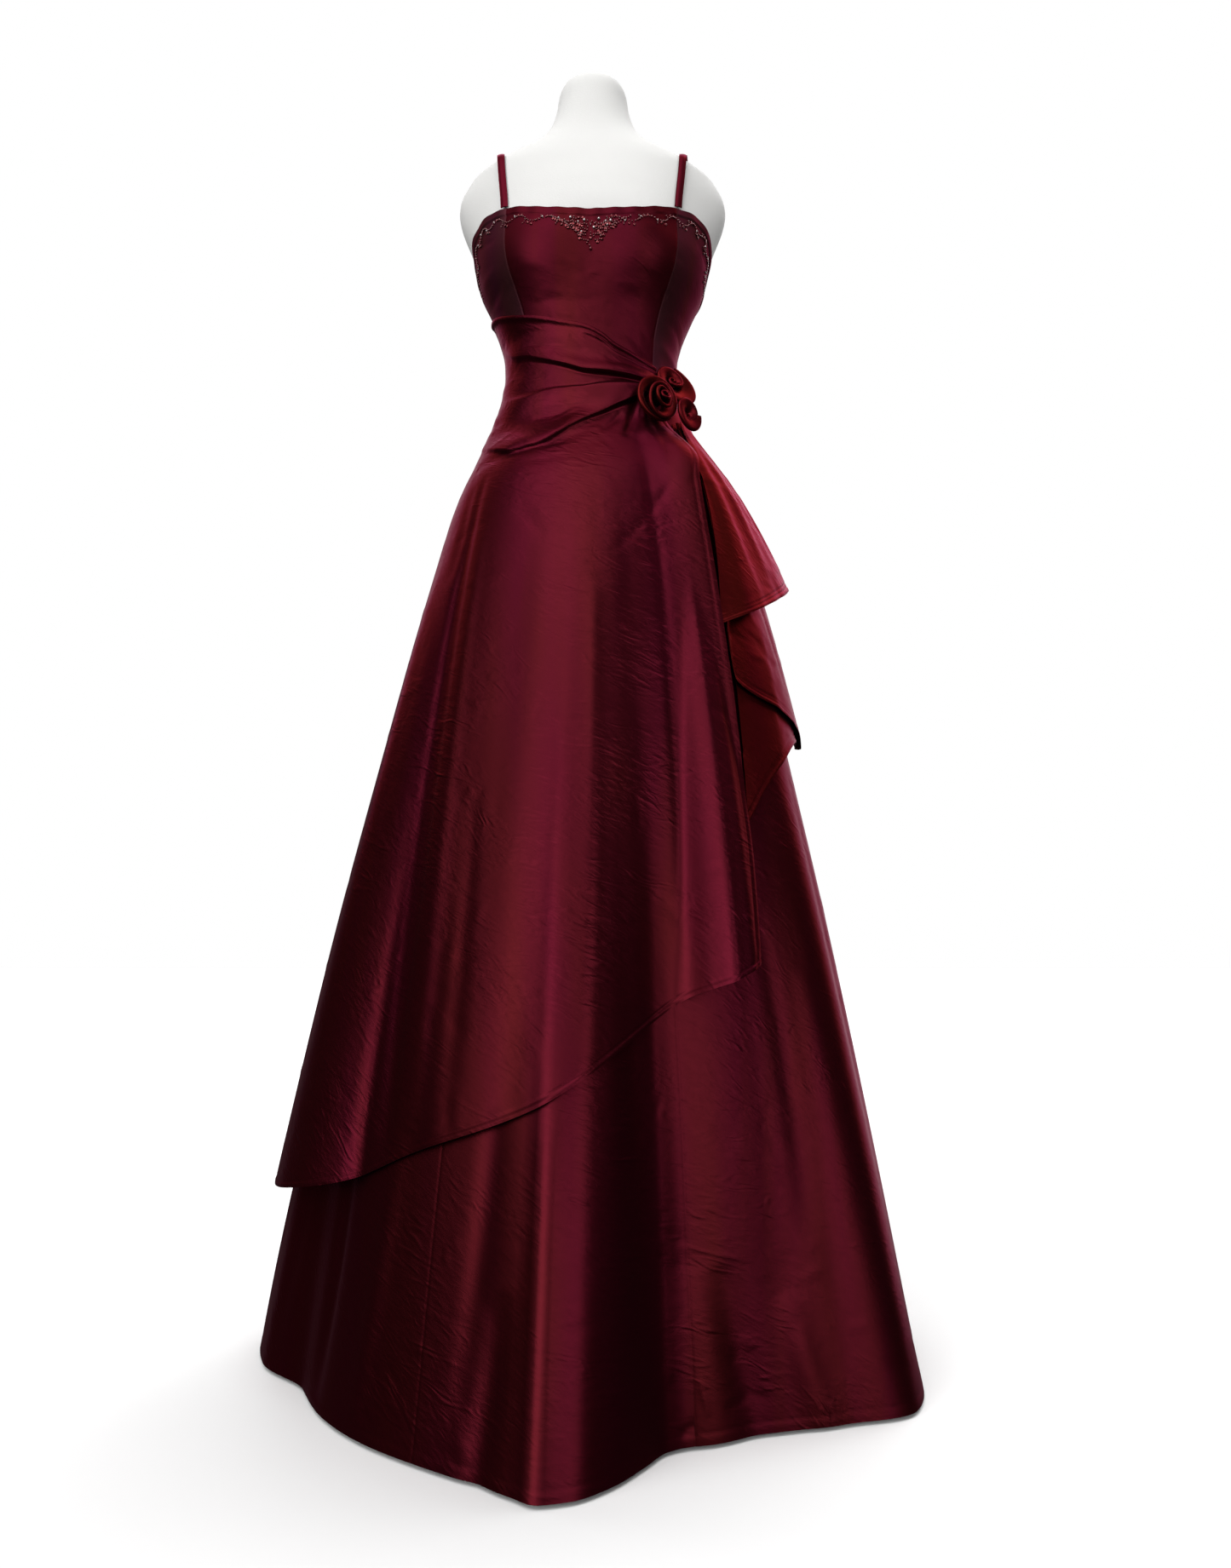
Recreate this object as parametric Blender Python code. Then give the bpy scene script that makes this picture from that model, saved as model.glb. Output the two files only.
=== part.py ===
"""Evening dress with a draped overskirt and fabric roses, worn by a limbless dress form on a round stand.

Metres, +Z up. The origin is on the floor, under the middle of the stand. The dress faces -Y, so +X is
the side of the roses. An angle is measured round the Z axis from the front (0) towards +X (90).
"""

import math

import bmesh
import bpy
from mathutils import Vector

# Cloth and gaps
WALL = 0.0016  # thickness of every cloth wall
SEAM_GAP = 0.0004  # between two pieces sewn edge to edge
EASE = 0.0022  # between the form and the cloth it fills

# Heights of the dress
HEM_Z = 0.004
WAIST_SEAM_Z = 1.085

# The stand and the form
BASE_RADIUS = 0.160
BASE_HEIGHT = 0.014
BASE_EDGE = 0.004
POLE_RADIUS = 0.0125
FORM_BOTTOM_Z = 0.860
FORM_TOP_Z = 1.540
FORM_COLUMNS = 36
FORM_SEARCH = (0.0, 0.4, 40)  # nearest and farthest distance, and halvings, when its surface is looked for

# The form's sections: height, half width, depth to the front, depth to the back
FORM = (
    (0.860, 0.146, 0.100, 0.111),
    (0.905, 0.149, 0.103, 0.115),
    (0.950, 0.147, 0.103, 0.113),
    (1.000, 0.137, 0.100, 0.105),
    (1.050, 0.120, 0.094, 0.093),
    (1.090, 0.107, 0.089, 0.083),
    (1.130, 0.1005, 0.086, 0.077),
    (1.155, 0.102, 0.087, 0.076),
    (1.185, 0.1095, 0.091, 0.078),
    (1.215, 0.1215, 0.097, 0.081),
    (1.245, 0.1345, 0.102, 0.084),
    (1.275, 0.1415, 0.105, 0.086),
    (1.305, 0.1440, 0.103, 0.087),
    (1.345, 0.1450, 0.093, 0.085),
    (1.372, 0.1455, 0.084, 0.082),
    (1.392, 0.1450, 0.077, 0.078),
    (1.410, 0.1280, 0.070, 0.072),
    (1.427, 0.0960, 0.063, 0.066),
    (1.444, 0.0700, 0.057, 0.061),
    (1.466, 0.0545, 0.051, 0.055),
    (1.492, 0.0465, 0.046, 0.049),
    (1.515, 0.0430, 0.042, 0.044),
    (1.528, 0.0370, 0.036, 0.037),
    (1.536, 0.0260, 0.025, 0.026),
)
SECTION_POWER = 2.15  # 2 is an ellipse, more is squarer

# The shoulder caps, where arms would start, and the cups of the bust
CAP = {"angle": 90, "spread": 13, "z": 1.358, "below": 0.095, "above": 0.062, "out": 0.023}
CUP = {"angle": 35, "spread": 20, "z": 1.245, "tall": 0.042, "out": 0.011}

# The underskirt's sections, as the form's are given, before its folds
SKIRT = (
    (HEM_Z, 0.345, 0.352, 0.370),
    (0.250, 0.305, 0.314, 0.330),
    (0.450, 0.270, 0.274, 0.290),
    (0.650, 0.230, 0.230, 0.246),
    (0.800, 0.199, 0.194, 0.208),
    (0.900, 0.175, 0.165, 0.176),
    (0.960, 0.158, 0.144, 0.150),
    (1.010, 0.137, 0.118, 0.122),
    (1.050, 0.118, 0.096, 0.098),
    (1.090, 0.100, 0.080, 0.078),
)

# Crests and valleys of the underskirt's hem: angle, depth outwards
SKIRT_FOLDS = (
    (-180, -0.010),
    (-150, 0.022),
    (-122, -0.024),
    (-96, 0.022),
    (-62, -0.036),
    (-30, 0.003),
    (-4, 0.045),
    (15, -0.050),
    (35, -0.044),
    (57, 0.020),
    (84, -0.004),
    (108, 0.020),
    (132, -0.026),
    (158, 0.024),
)
# The underskirt's gores: name, angle of its left seam, columns of faces, and the last one's right seam
GORES = (
    ("skirt_side_right", -92, 14),
    ("skirt_front", -24, 10),
    ("skirt_side_left", 19, 14),
    ("skirt_back_left", 92, 16),
    ("skirt_back_right", 180, 16),
    ("", 268, 0),
)
# Rows of the underskirt, as shares of its height
SKIRT_ROWS = (0, 0.12, 0.25, 0.38, 0.52, 0.66, 0.76, 0.83, 0.89, 0.93, 0.965, 1)
SKIRT_FOLD_TOP_Z = 0.98
SKIRT_FOLD_GROWTH = 1.4
SKIRT_BLEND = 0.004  # rounds the skirt off where it leaves the hips

# The bodice's top edge, the same on both sides: angle from the front, height
TOP_EDGE = (
    (0, 1.294),
    (25, 1.299),
    (50, 1.312),
    (64, 1.316),
    (76, 1.306),
    (84, 1.283),
    (91, 1.257),
    (100, 1.241),
    (120, 1.231),
    (150, 1.226),
    (180, 1.224),
)
FRONT_SEAM_TOP = 51  # angle of a princess seam at the top edge
FRONT_SEAM_WAIST = 47
SIDE_SEAM = 92

# The straps. A turn goes round a level hub line in the form, from the front (0) over the shoulder
STRAP_WIDTH = 0.011
STRAP_HUB_Z = 1.25
STRAP_FRONT = {"x": 0.103, "turn": 36}
STRAP_TOP = {"x": 0.117, "turn": 100}
STRAP_BACK = {"x": 0.072, "turn": 196}
STRAP_FRONT_ENDS = (15, 80)  # the turns between which its front end is looked for
STRAP_BACK_ENDS = (150, 215)
STRAP_SEARCH = 20
STRAP_STEPS = 34
STRAP_REST = 0.0022  # its underside stands this far off the form
STRAP_END_GAP = 0.0005
STRAP_LEAN = 0.25  # how much its flat side leans outwards at the shoulder

# The overskirt's front: angle, top edge, crests of the three pleats that run into the roses, hem
DRAPE = (
    (-95, 1.2120, 1.1660, 1.1040, 1.0500, 0.190),
    (-70, 1.1960, 1.1490, 1.0890, 1.0260, 0.193),
    (-45, 1.1785, 1.1280, 1.0745, 1.0010, 0.211),
    (-22, 1.1660, 1.1120, 1.0765, 1.0040, 0.252),
    (0, 1.1545, 1.0990, 1.0780, 1.0380, 0.292),
    (20, 1.1345, 1.0965, 1.0817, 1.0590, 0.354),
    (34, 1.1235, 1.0935, 1.0827, 1.0748, 0.392),
    (46, 1.1165, 1.0920, 1.0840, 1.0790, 0.420),
)
# How high the crests of the upper, the middle and the lower pleat stand: angle, heights
PLEAT_HEIGHTS = (
    (-84, 0.0, 0.0, 0.0),
    (-70, 0.0006, 0.0003, 0.0020),
    (-57, 0.0030, 0.0018, 0.0035),
    (-43, 0.0040, 0.0035, 0.0050),
    (-22, 0.0058, 0.0052, 0.0062),
    (0, 0.0073, 0.0066, 0.0070),
    (20, 0.0079, 0.0068, 0.0064),
    (34, 0.0066, 0.0055, 0.0047),
    (46, 0.0040, 0.0030, 0.0030),
)
# How round each of them is above and below its crest
PLEAT_ROUNDNESS = ((0.015, 0.006), (0.006, 0.017), (0.022, 0.007))
PLEAT_BELOW = 0.05  # from the lower crest to where the cloth hangs free
DRAPE_LEFT = -95
DRAPE_RIGHT = 46
# Where its free right edge really runs: height, angle
DRAPE_EDGE = (
    (0.40, 33),
    (0.48, 35.6),
    (0.55, 37.6),
    (0.69, 39),
    (0.80, 39.6),
    (0.87, 40.4),
    (0.91, 41),
    (0.954, 42.5),
    (1.003, 47.5),
    (1.03, 48),
    (1.12, 47),
)
DRAPE_COLUMNS = 30
DRAPE_ROWS = (5, 3, 4, 3, 10)  # rows of faces from the top edge to each crest, to below them and to the hem
DRAPE_FALL = 1.3  # how much closer together the last run's rows stand over the hips than at the hem

# Crests and valleys of the overskirt: angle, depth outwards at its hem
OVER_FOLDS = (
    (-180, 0.020),
    (-150, 0.036),
    (-122, 0.006),
    (-96, 0.027),
    (-72, 0.024),
    (-43, -0.026),
    (-28, 0.015),
    (-5, 0.029),
    (10, -0.018),
    (24, 0.036),
    (36, 0.024),
    (60, 0.030),
    (100, 0.015),
    (132, 0.006),
    (158, 0.039),
)
# How far the overskirt lies off the layer below it, at least: height, distance
OVER_REST = ((0.10, 0.0040), (1.00, 0.0036), (1.05, 0.0024), (1.10, 0.0012), (1.25, 0.0012))
EDGE_LIFT = 0.0225  # how far its front edge stands over the cascade
EDGE_LIFT_FROM = 24  # angle where that lift starts
EDGE_LIFT_FADE = 0.08
OVER_FOLD_GROWTH = 0.8
OVER_BLEND = 0.003

# The overskirt's back: angle going round from the left side seam, top edge, hem
BACK_DRAPE = (
    (-95, 1.212, 0.190),
    (-125, 1.192, 0.194),
    (-155, 1.166, 0.232),
    (-185, 1.142, 0.310),
    (-215, 1.122, 0.430),
    (-240, 1.108, 0.560),
    (-262, 1.098, 0.664),
)
# Where its front edge runs, behind the cascade: height, angle
BACK_EDGE = ((0.664, 98), (0.80, 95.5), (0.863, 90), (0.90, 85), (0.955, 78), (1.00, 73), (1.046, 70), (1.12, 70))
BACK_COLUMNS = 26
# Rows of the overskirt's back, as shares of its height
BACK_ROWS = (0, 0.12, 0.25, 0.38, 0.50, 0.61, 0.70, 0.77, 0.83, 0.875, 0.91, 0.94, 0.97, 1)

# The cascade under the roses, one row for each turn of its folded hem: angle, distance off the
# underskirt on the outer and the inner side of the turn, height of the hem before and after the turn,
# and how late the hem falls along the next layer (1 is evenly)
CASCADE = (
    (40, 0.0165, 0.0165, 0.777, 0.777, 1.0),
    (80, 0.0490, 0.0435, 0.852, 0.852, 1.0),
    (44, 0.0130, 0.0090, 0.797, 0.719, 0.5),
    (92, 0.0250, 0.0170, 0.672, 0.672, 3.0),
    (41, 0.0048, 0.0048, 0.562, 0.562, 1.0),
)
CASCADE_TOP_Z = 1.046
CASCADE_TOP_ANGLE = 57
CASCADE_TOP_REST = 0.0006  # the innermost layer's distance off the skirt at the top
CASCADE_TOP_DEPTH = 0.0125  # from there to the outermost layer
CASCADE_TOP_SPREAD = 0.17  # share of the hem's angular width that is left at the top
CASCADE_RUN = 7  # faces along each layer of the cascade
CASCADE_TURN = 4  # faces round each turn
CASCADE_ROWS = 11
CASCADE_WALL = 0.0012
CASCADE_RIDGE = {"angle": 49, "spread": 6, "out": 0.006}

# The roses: name, angle, height, outer radius, turns, tilt of the face upwards
ROSES = (
    ("rose_main", 38.5, 1.061, 0.0265, 2.6, 0.10),
    ("rose_upper", 55.5, 1.098, 0.0205, 2.0, 0.40),
    ("rose_lower", 57.5, 1.050, 0.0165, 2.0, -0.10),
)
ROSE_WALL = 0.0011
ROSE_HEART = 0.0032
ROSE_FOOT = 0.55  # a foot's radius, as a share of the rose's own
ROSE_RISE = 0.78  # how far the heart stands out, as a share of the radius
ROSE_FALL = 0.34  # how much lower the outer turn stands
ROSE_CURL = 0.55  # share of a half wave that the strip rises through
ROSE_SEAT = 0.0005  # a rose stands this far off the cloth below it
ROSE_MARGIN = 1  # degrees beyond the edge of that cloth that still count as over it
ROSE_STEP = 0.0003
ROSE_STEPS = 18  # faces to a turn

DARK_RED = (0.16, 0.008, 0.022, 1.0)
DEEP_RED = (0.11, 0.006, 0.015, 1.0)
IVORY = (0.80, 0.79, 0.77, 1.0)
STEEL = (0.55, 0.55, 0.57, 1.0)


def clear_scene():
    for obj in list(bpy.data.objects):
        bpy.data.objects.remove(obj)


def material(name, colour, roughness, metallic=0.0):
    made = bpy.data.materials.new(name)
    made.use_nodes = True
    shader = made.node_tree.nodes["Principled BSDF"]
    shader.inputs["Base Color"].default_value = colour
    shader.inputs["Roughness"].default_value = roughness
    shader.inputs["Metallic"].default_value = metallic
    return made


def smoothstep(x):
    x = min(1.0, max(0.0, x))
    return x * x * (3 - 2 * x)


def smooth_max(a, b, blend):
    """The larger of a and b, rounded off where they are within a blend of each other."""
    h = max(0.0, blend - abs(a - b)) / blend
    return max(a, b) + h * h * blend / 4


def curve_through(rows, at):
    """The table's columns at a place in its first column, on a smooth curve through its rows."""
    keys = [row[0] for row in rows]
    sign = 1 if keys[-1] > keys[0] else -1
    low, high = sorted((keys[0], keys[-1]))
    at = min(high, max(low, at))
    i = max(k for k in range(len(rows) - 1) if (at - keys[k]) * sign >= 0)
    span = keys[i + 1] - keys[i]
    t = (at - keys[i]) / span
    found = []
    for column in range(1, len(rows[0])):
        values = [row[column] for row in rows]
        rise = (values[i + 1] - values[i]) / span
        slopes = []
        for k in (i, i + 1):
            if 0 < k < len(rows) - 1:
                before = (values[k] - values[k - 1]) / (keys[k] - keys[k - 1])
                after = (values[k + 1] - values[k]) / (keys[k + 1] - keys[k])
                flat = before * after <= 0
                slopes.append(0.0 if flat else 2 * before * after / (before + after))
            else:
                slopes.append(rise)
        a, b = slopes[0] * span, slopes[1] * span
        d = values[i + 1] - values[i]
        found.append(values[i] + t * (a + t * (3 * d - 2 * a - b + t * (a + b - 2 * d))))
    return found


def round_curve(rows, angle):
    """A two-column table of angle and value, taken as going right round."""
    first = rows[0]
    closed = rows + ((first[0] + 360, first[1]),)
    return curve_through(closed, (angle - first[0]) % 360 + first[0])[0]


def wrapped(angle):
    return (angle + 180) % 360 - 180


def bump(distance, spread):
    return math.exp(-((distance / spread) ** 2))


def polar(angle, radius, z):
    a = math.radians(angle)
    return Vector((radius * math.sin(a), -radius * math.cos(a), z))


def section_radius(table, angle, z):
    """Distance from the axis to a rounded section with its own front and back depth."""
    half_width, front, back = curve_through(table, z)
    a = math.radians(angle)
    depth = front if math.cos(a) > 0 else back
    across = abs(math.sin(a) / half_width) ** SECTION_POWER
    along = abs(math.cos(a) / depth) ** SECTION_POWER
    return (across + along) ** (-1 / SECTION_POWER)


def form_radius(angle, z):
    """The form's own surface."""
    side = abs(wrapped(angle))
    tall = CAP["above"] if z > CAP["z"] else CAP["below"]
    rise = math.cos(math.pi / 2 * min(1.0, abs(z - CAP["z"]) / tall)) ** 2
    cap = CAP["out"] * bump(side - CAP["angle"], CAP["spread"]) * rise
    cup = CUP["out"] * bump(side - CUP["angle"], CUP["spread"]) * bump(z - CUP["z"], CUP["tall"])
    return section_radius(FORM, angle, z) + cap + cup


def bodice_radius(angle, z):
    """The outside of the bodice, which lies close to the form."""
    return form_radius(angle, max(z, FORM_BOTTOM_Z)) + EASE + WALL


def skirt_radius(angle, z):
    """The outside of the underskirt: fitted at the waist, then flared into its folds."""
    share = max(0.0, (SKIRT_FOLD_TOP_Z - z) / SKIRT_FOLD_TOP_Z) ** SKIRT_FOLD_GROWTH
    flared = section_radius(SKIRT, angle, z) + share * round_curve(SKIRT_FOLDS, angle)
    fitted = bodice_radius(angle, z)
    return smooth_max(fitted, flared, SKIRT_BLEND)


def under_radius(angle, z):
    """The outside of the layer that the overskirt lies on, above and below the waist seam."""
    return skirt_radius(angle, z) if z < WAIST_SEAM_Z else bodice_radius(angle, z)


def over_radius(angle, z):
    """The outside of the overskirt, before its pleats. Its front edge stands over the cascade."""
    side = wrapped(angle)
    share = max(0.0, (SKIRT_FOLD_TOP_Z - z) / SKIRT_FOLD_TOP_Z) ** OVER_FOLD_GROWTH
    free = section_radius(SKIRT, angle, min(z, SKIRT[-1][0])) + share * round_curve(OVER_FOLDS, angle)
    lift = 0.0
    if side < CASCADE_TOP_ANGLE:
        beyond = (side - EDGE_LIFT_FROM) / (DRAPE_RIGHT - EDGE_LIFT_FROM)
        lift = EDGE_LIFT * smoothstep(beyond) * smoothstep((CASCADE_TOP_Z + 0.01 - z) / EDGE_LIFT_FADE)
    rest = under_radius(angle, z) + curve_through(OVER_REST, z)[0] + WALL
    return smooth_max(rest + lift, free, OVER_BLEND)


def surface_normal(point_at, u, v, step=0.002):
    """Unit normal of a surface given as a function of two numbers."""
    du = point_at(u + step, v) - point_at(u - step, v)
    dv = point_at(u, v + step) - point_at(u, v - step)
    return du.cross(dv).normalized()


def finish(bm, name, finish_material, sharp_degrees=40):
    bmesh.ops.recalc_face_normals(bm, faces=bm.faces[:])
    mesh = bpy.data.meshes.new(name)
    bm.to_mesh(mesh)
    bm.free()
    mesh.shade_smooth()
    mesh.set_sharp_from_angle(angle=math.radians(sharp_degrees))
    mesh.materials.append(finish_material)
    obj = bpy.data.objects.new(name, mesh)
    bpy.context.scene.collection.objects.link(obj)
    return obj


def cloth_wall(name, point_at, across, down, thickness, finish_material, side=1):
    """A closed wall on a surface: across and down are the places of its columns and rows."""
    bm = bmesh.new()
    columns, rows = len(across) - 1, len(down) - 1
    bmesh.ops.create_grid(bm, x_segments=columns, y_segments=rows, size=1)
    grown = bmesh.ops.extrude_face_region(bm, geom=bm.faces[:])
    inner = {item for item in grown["geom"] if isinstance(item, bmesh.types.BMVert)}
    for vert in bm.verts:
        u = across[round((vert.co.x + 1) / 2 * columns)]
        v = down[round((vert.co.y + 1) / 2 * rows)]
        place = point_at(u, v)
        if vert in inner:
            place = place - surface_normal(point_at, u, v) * thickness * side
        vert.co = place
    return finish(bm, name, finish_material)


def even(start, stop, count):
    return [start + (stop - start) * i / count for i in range(count + 1)]


def top_edge_z(angle):
    return curve_through(TOP_EDGE, abs(wrapped(angle)))[0]


def front_seam(z):
    share = (z - WAIST_SEAM_Z) / (TOP_EDGE[0][1] - WAIST_SEAM_Z)
    return FRONT_SEAM_WAIST + (FRONT_SEAM_TOP - FRONT_SEAM_WAIST) * share


def bodice_panel(name, left_at, right_at, columns, rows, cloth):
    """One panel of the bodice, between two seams given as functions of height."""

    def point_at(u, v):
        nominal = left_at(TOP_EDGE[0][1]) * (1 - u) + right_at(TOP_EDGE[0][1]) * u
        z = WAIST_SEAM_Z + SEAM_GAP / 2 + v * (top_edge_z(nominal) - WAIST_SEAM_Z)
        gap = math.degrees(SEAM_GAP / 2 / bodice_radius(nominal, z))
        angle = (left_at(z) + gap) * (1 - u) + (right_at(z) - gap) * u
        return polar(angle, bodice_radius(angle, z), z)

    return cloth_wall(name, point_at, even(0, 1, columns), even(0, 1, rows), WALL, cloth)


def bodice(cloth):
    def side(angle):
        return lambda z: angle

    bodice_panel("bodice_front", lambda z: -front_seam(z), front_seam, 16, 12, cloth)
    bodice_panel("bodice_side_right", side(-SIDE_SEAM), lambda z: -front_seam(z), 8, 12, cloth)
    bodice_panel("bodice_side_left", front_seam, side(SIDE_SEAM), 8, 12, cloth)
    bodice_panel("bodice_back_right", side(-180), side(-SIDE_SEAM), 11, 9, cloth)
    bodice_panel("bodice_back_left", side(SIDE_SEAM), side(180), 11, 9, cloth)


def skirt(cloth):
    """The floor-length underskirt, cut in gores."""

    def gore(name, left, right, columns):
        def point_at(u, v):
            angle = left * (1 - u) + right * u
            z = HEM_Z + v * (WAIST_SEAM_Z - SEAM_GAP / 2 - HEM_Z)
            gap = math.degrees(SEAM_GAP / 2 / skirt_radius(angle, z))
            angle += gap * (1 - 2 * u)
            return polar(angle, skirt_radius(angle, z), z)

        cloth_wall(name, point_at, even(0, 1, columns), SKIRT_ROWS, WALL, cloth)

    for (name, left, columns), (_, right, _) in zip(GORES, GORES[1:]):
        gore(name, left, right, columns)


def fold(distance, above, below):
    """A crest, 1 high, with its own roundness above and below."""
    return bump(distance, above if distance > 0 else below)


def pleat_relief(angle, z):
    """How far the pleats stand out."""
    crests = curve_through(DRAPE, angle)[1:4]
    heights = curve_through(PLEAT_HEIGHTS, angle)
    pleats = zip(crests, heights, PLEAT_ROUNDNESS)
    return sum(height * fold(z - crest, *roundness) for crest, height, roundness in pleats)


def overskirt_front(cloth):
    """The front of the overskirt, from its pleats at the waist to its slanting hem."""

    def point_at(place, line):
        lines = curve_through(DRAPE, place)
        lines.insert(4, lines[3] - PLEAT_BELOW)
        k = min(len(DRAPE_ROWS) - 1, max(0, math.floor(line)))
        z = lines[k] + (lines[k + 1] - lines[k]) * (line - k)
        reach = (curve_through(DRAPE_EDGE, z)[0] - DRAPE_LEFT) / (DRAPE_RIGHT - DRAPE_LEFT)
        angle = DRAPE_LEFT + (place - DRAPE_LEFT) * reach
        return polar(angle, over_radius(angle, z) + pleat_relief(angle, z), z)

    rows = [0]
    for k, count in enumerate(DRAPE_ROWS):
        close = DRAPE_FALL if count == DRAPE_ROWS[-1] else 1
        rows += [k + ((i + 1) / count) ** close for i in range(count)]
    rows.reverse()
    angles = even(DRAPE_LEFT, DRAPE_RIGHT, DRAPE_COLUMNS)
    cloth_wall("overskirt_front", point_at, angles, rows, WALL, cloth, side=-1)


def overskirt_back(cloth):
    """The back of the overskirt, whose hem climbs to the hip with the roses."""

    def point_at(turn, v):
        top, hem = curve_through(BACK_DRAPE, -turn)
        z = hem + (top - hem) * v
        reach = (DRAPE_LEFT + 360 - curve_through(BACK_EDGE, z)[0]) / (BACK_DRAPE[0][0] - BACK_DRAPE[-1][0])
        angle = DRAPE_LEFT - (turn + DRAPE_LEFT) * reach
        return polar(angle, over_radius(angle, z), z)

    gap = math.degrees(SEAM_GAP / BACK_DRAPE[0][2])
    turns = even(-BACK_DRAPE[-1][0], -BACK_DRAPE[0][0] + gap, BACK_COLUMNS)
    cloth_wall("overskirt_back", point_at, turns, BACK_ROWS, WALL, cloth)


def cascade_stations():
    """Places along the cascade's folded hem: angle, distance off the skirt, hem height."""
    stations = []
    for row, next_row in zip(CASCADE, CASCADE[1:]):
        angle, _, start_off, _, z, late = row
        next_angle, end_off, inner, next_z, after_z, _ = next_row
        for i in range(CASCADE_RUN + 1):
            t = i / CASCADE_RUN
            off = start_off + (end_off - start_off) * t
            stations.append((angle + (next_angle - angle) * t, off, z + (next_z - z) * t**late))
        if next_row is CASCADE[-1]:
            break
        way = 1 if next_angle > angle else -1
        turn_radius = abs(end_off - inner) / 2
        for j in range(1, CASCADE_TURN):
            a = math.pi * j / CASCADE_TURN
            bulge = math.degrees(turn_radius * math.sin(a) / skirt_radius(next_angle, next_z))
            off = (end_off + inner) / 2 + (end_off - inner) / 2 * math.cos(a)
            hem = next_z + (after_z - next_z) * j / CASCADE_TURN
            stations.append((next_angle + way * bulge, off, hem))
    return stations


def cascade_top_off(s):
    """How far the cascade lies off the underskirt at its gathered top."""
    return CASCADE_TOP_REST + CASCADE_TOP_DEPTH * (1 - s / (len(cascade_stations()) - 1))


def cascade(cloth):
    """The folded tail of the overskirt that falls from under the roses."""
    stations = cascade_stations()
    table = tuple((i, *station) for i, station in enumerate(stations))

    def point_at(s, t):
        angle, off, hem = curve_through(table, s)
        narrow = CASCADE_TOP_SPREAD + (1 - CASCADE_TOP_SPREAD) * t
        turned = CASCADE_TOP_ANGLE + (angle - CASCADE_TOP_ANGLE) * narrow
        z = CASCADE_TOP_Z + (hem - CASCADE_TOP_Z) * t
        gathered = cascade_top_off(s)
        off = gathered + (off - gathered) * t
        ridge = bump(angle - CASCADE_RIDGE["angle"], CASCADE_RIDGE["spread"]) * (s < CASCADE_RUN) * t
        return polar(turned, skirt_radius(turned, z) + off + CASCADE_RIDGE["out"] * ridge, z)

    across = list(range(len(stations)))
    down = even(0, 1, CASCADE_ROWS)
    cloth_wall("cascade", point_at, across, down, CASCADE_WALL, cloth, side=-1)


def form_surface_along(start, direction):
    """The point where a ray from inside the form leaves it."""
    near, far, halvings = FORM_SEARCH
    for _ in range(halvings):
        middle = (near + far) / 2
        p = start + direction * middle
        angle = math.degrees(math.atan2(p.x, -p.y))
        inside = p.z < FORM_TOP_Z and math.hypot(p.x, p.y) < form_radius(angle, p.z)
        near, far = (middle, far) if inside else (near, middle)
    return start + direction * near


def strap(name, side, cloth):
    """A narrow band over the shoulder, from the front top edge to the back one."""

    def centre_x(turn):
        start, end = (STRAP_FRONT, STRAP_TOP) if turn < STRAP_TOP["turn"] else (STRAP_TOP, STRAP_BACK)
        t = smoothstep((turn - start["turn"]) / (end["turn"] - start["turn"]))
        return start["x"] + (end["x"] - start["x"]) * t

    def on_form(turn):
        a = math.radians(turn)
        hub = Vector((centre_x(turn), 0, STRAP_HUB_Z))
        return form_surface_along(hub, Vector((0, -math.cos(a), math.sin(a))))

    def corners(turn):
        """The band's four corners at one turn: its underside, then its top."""
        p = on_form(turn)
        along = (on_form(turn + 1) - on_form(turn - 1)).normalized()
        across = along.cross(Vector((p.x * STRAP_LEAN, p.y, p.z - STRAP_HUB_Z))).normalized()
        out = across.cross(along).normalized()
        edges = []
        for share in (-0.5, 0.5):
            aside = p + across * STRAP_WIDTH * share
            hub = Vector((aside.x, 0, STRAP_HUB_Z))
            edges.append(form_surface_along(hub, (aside - hub).normalized()))
        under = [edge + out * STRAP_REST for edge in edges]
        return under + [q + out * WALL for q in reversed(under)]

    def end_turn(low, high, rising):
        """The turn where the whole band just clears the bodice's top edge."""
        for _ in range(STRAP_SEARCH):
            middle = (low + high) / 2
            clear = min(q.z - top_edge_z(math.degrees(math.atan2(q.x, -q.y))) for q in corners(middle))
            if (clear < STRAP_END_GAP) == rising:
                low = middle
            else:
                high = middle
        return (low + high) / 2

    bm = bmesh.new()
    rings = []
    front_end, back_end = end_turn(*STRAP_FRONT_ENDS, True), end_turn(*STRAP_BACK_ENDS, False)
    for turn in even(front_end, back_end, STRAP_STEPS):
        rings.append([bm.verts.new((q.x * side, q.y, q.z)) for q in corners(turn)])
    for before, after in zip(rings, rings[1:]):
        for i in range(4):
            j = (i + 1) % 4
            bm.faces.new((before[i], before[j], after[j], after[i]))
    bm.faces.new(rings[0])
    bm.faces.new(rings[-1])
    return finish(bm, name, cloth)


def clear_height(points, out):
    """How far to move points along a direction until they all stand clear of the cloth below."""
    lift = 0.0
    while True:
        for point in points:
            p = point + out * lift
            angle = math.degrees(math.atan2(p.x, -p.y))
            if math.hypot(p.x, p.y) < rose_ground(angle, p.z) + ROSE_SEAT:
                break
        else:
            return lift
        lift += ROSE_STEP


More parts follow.
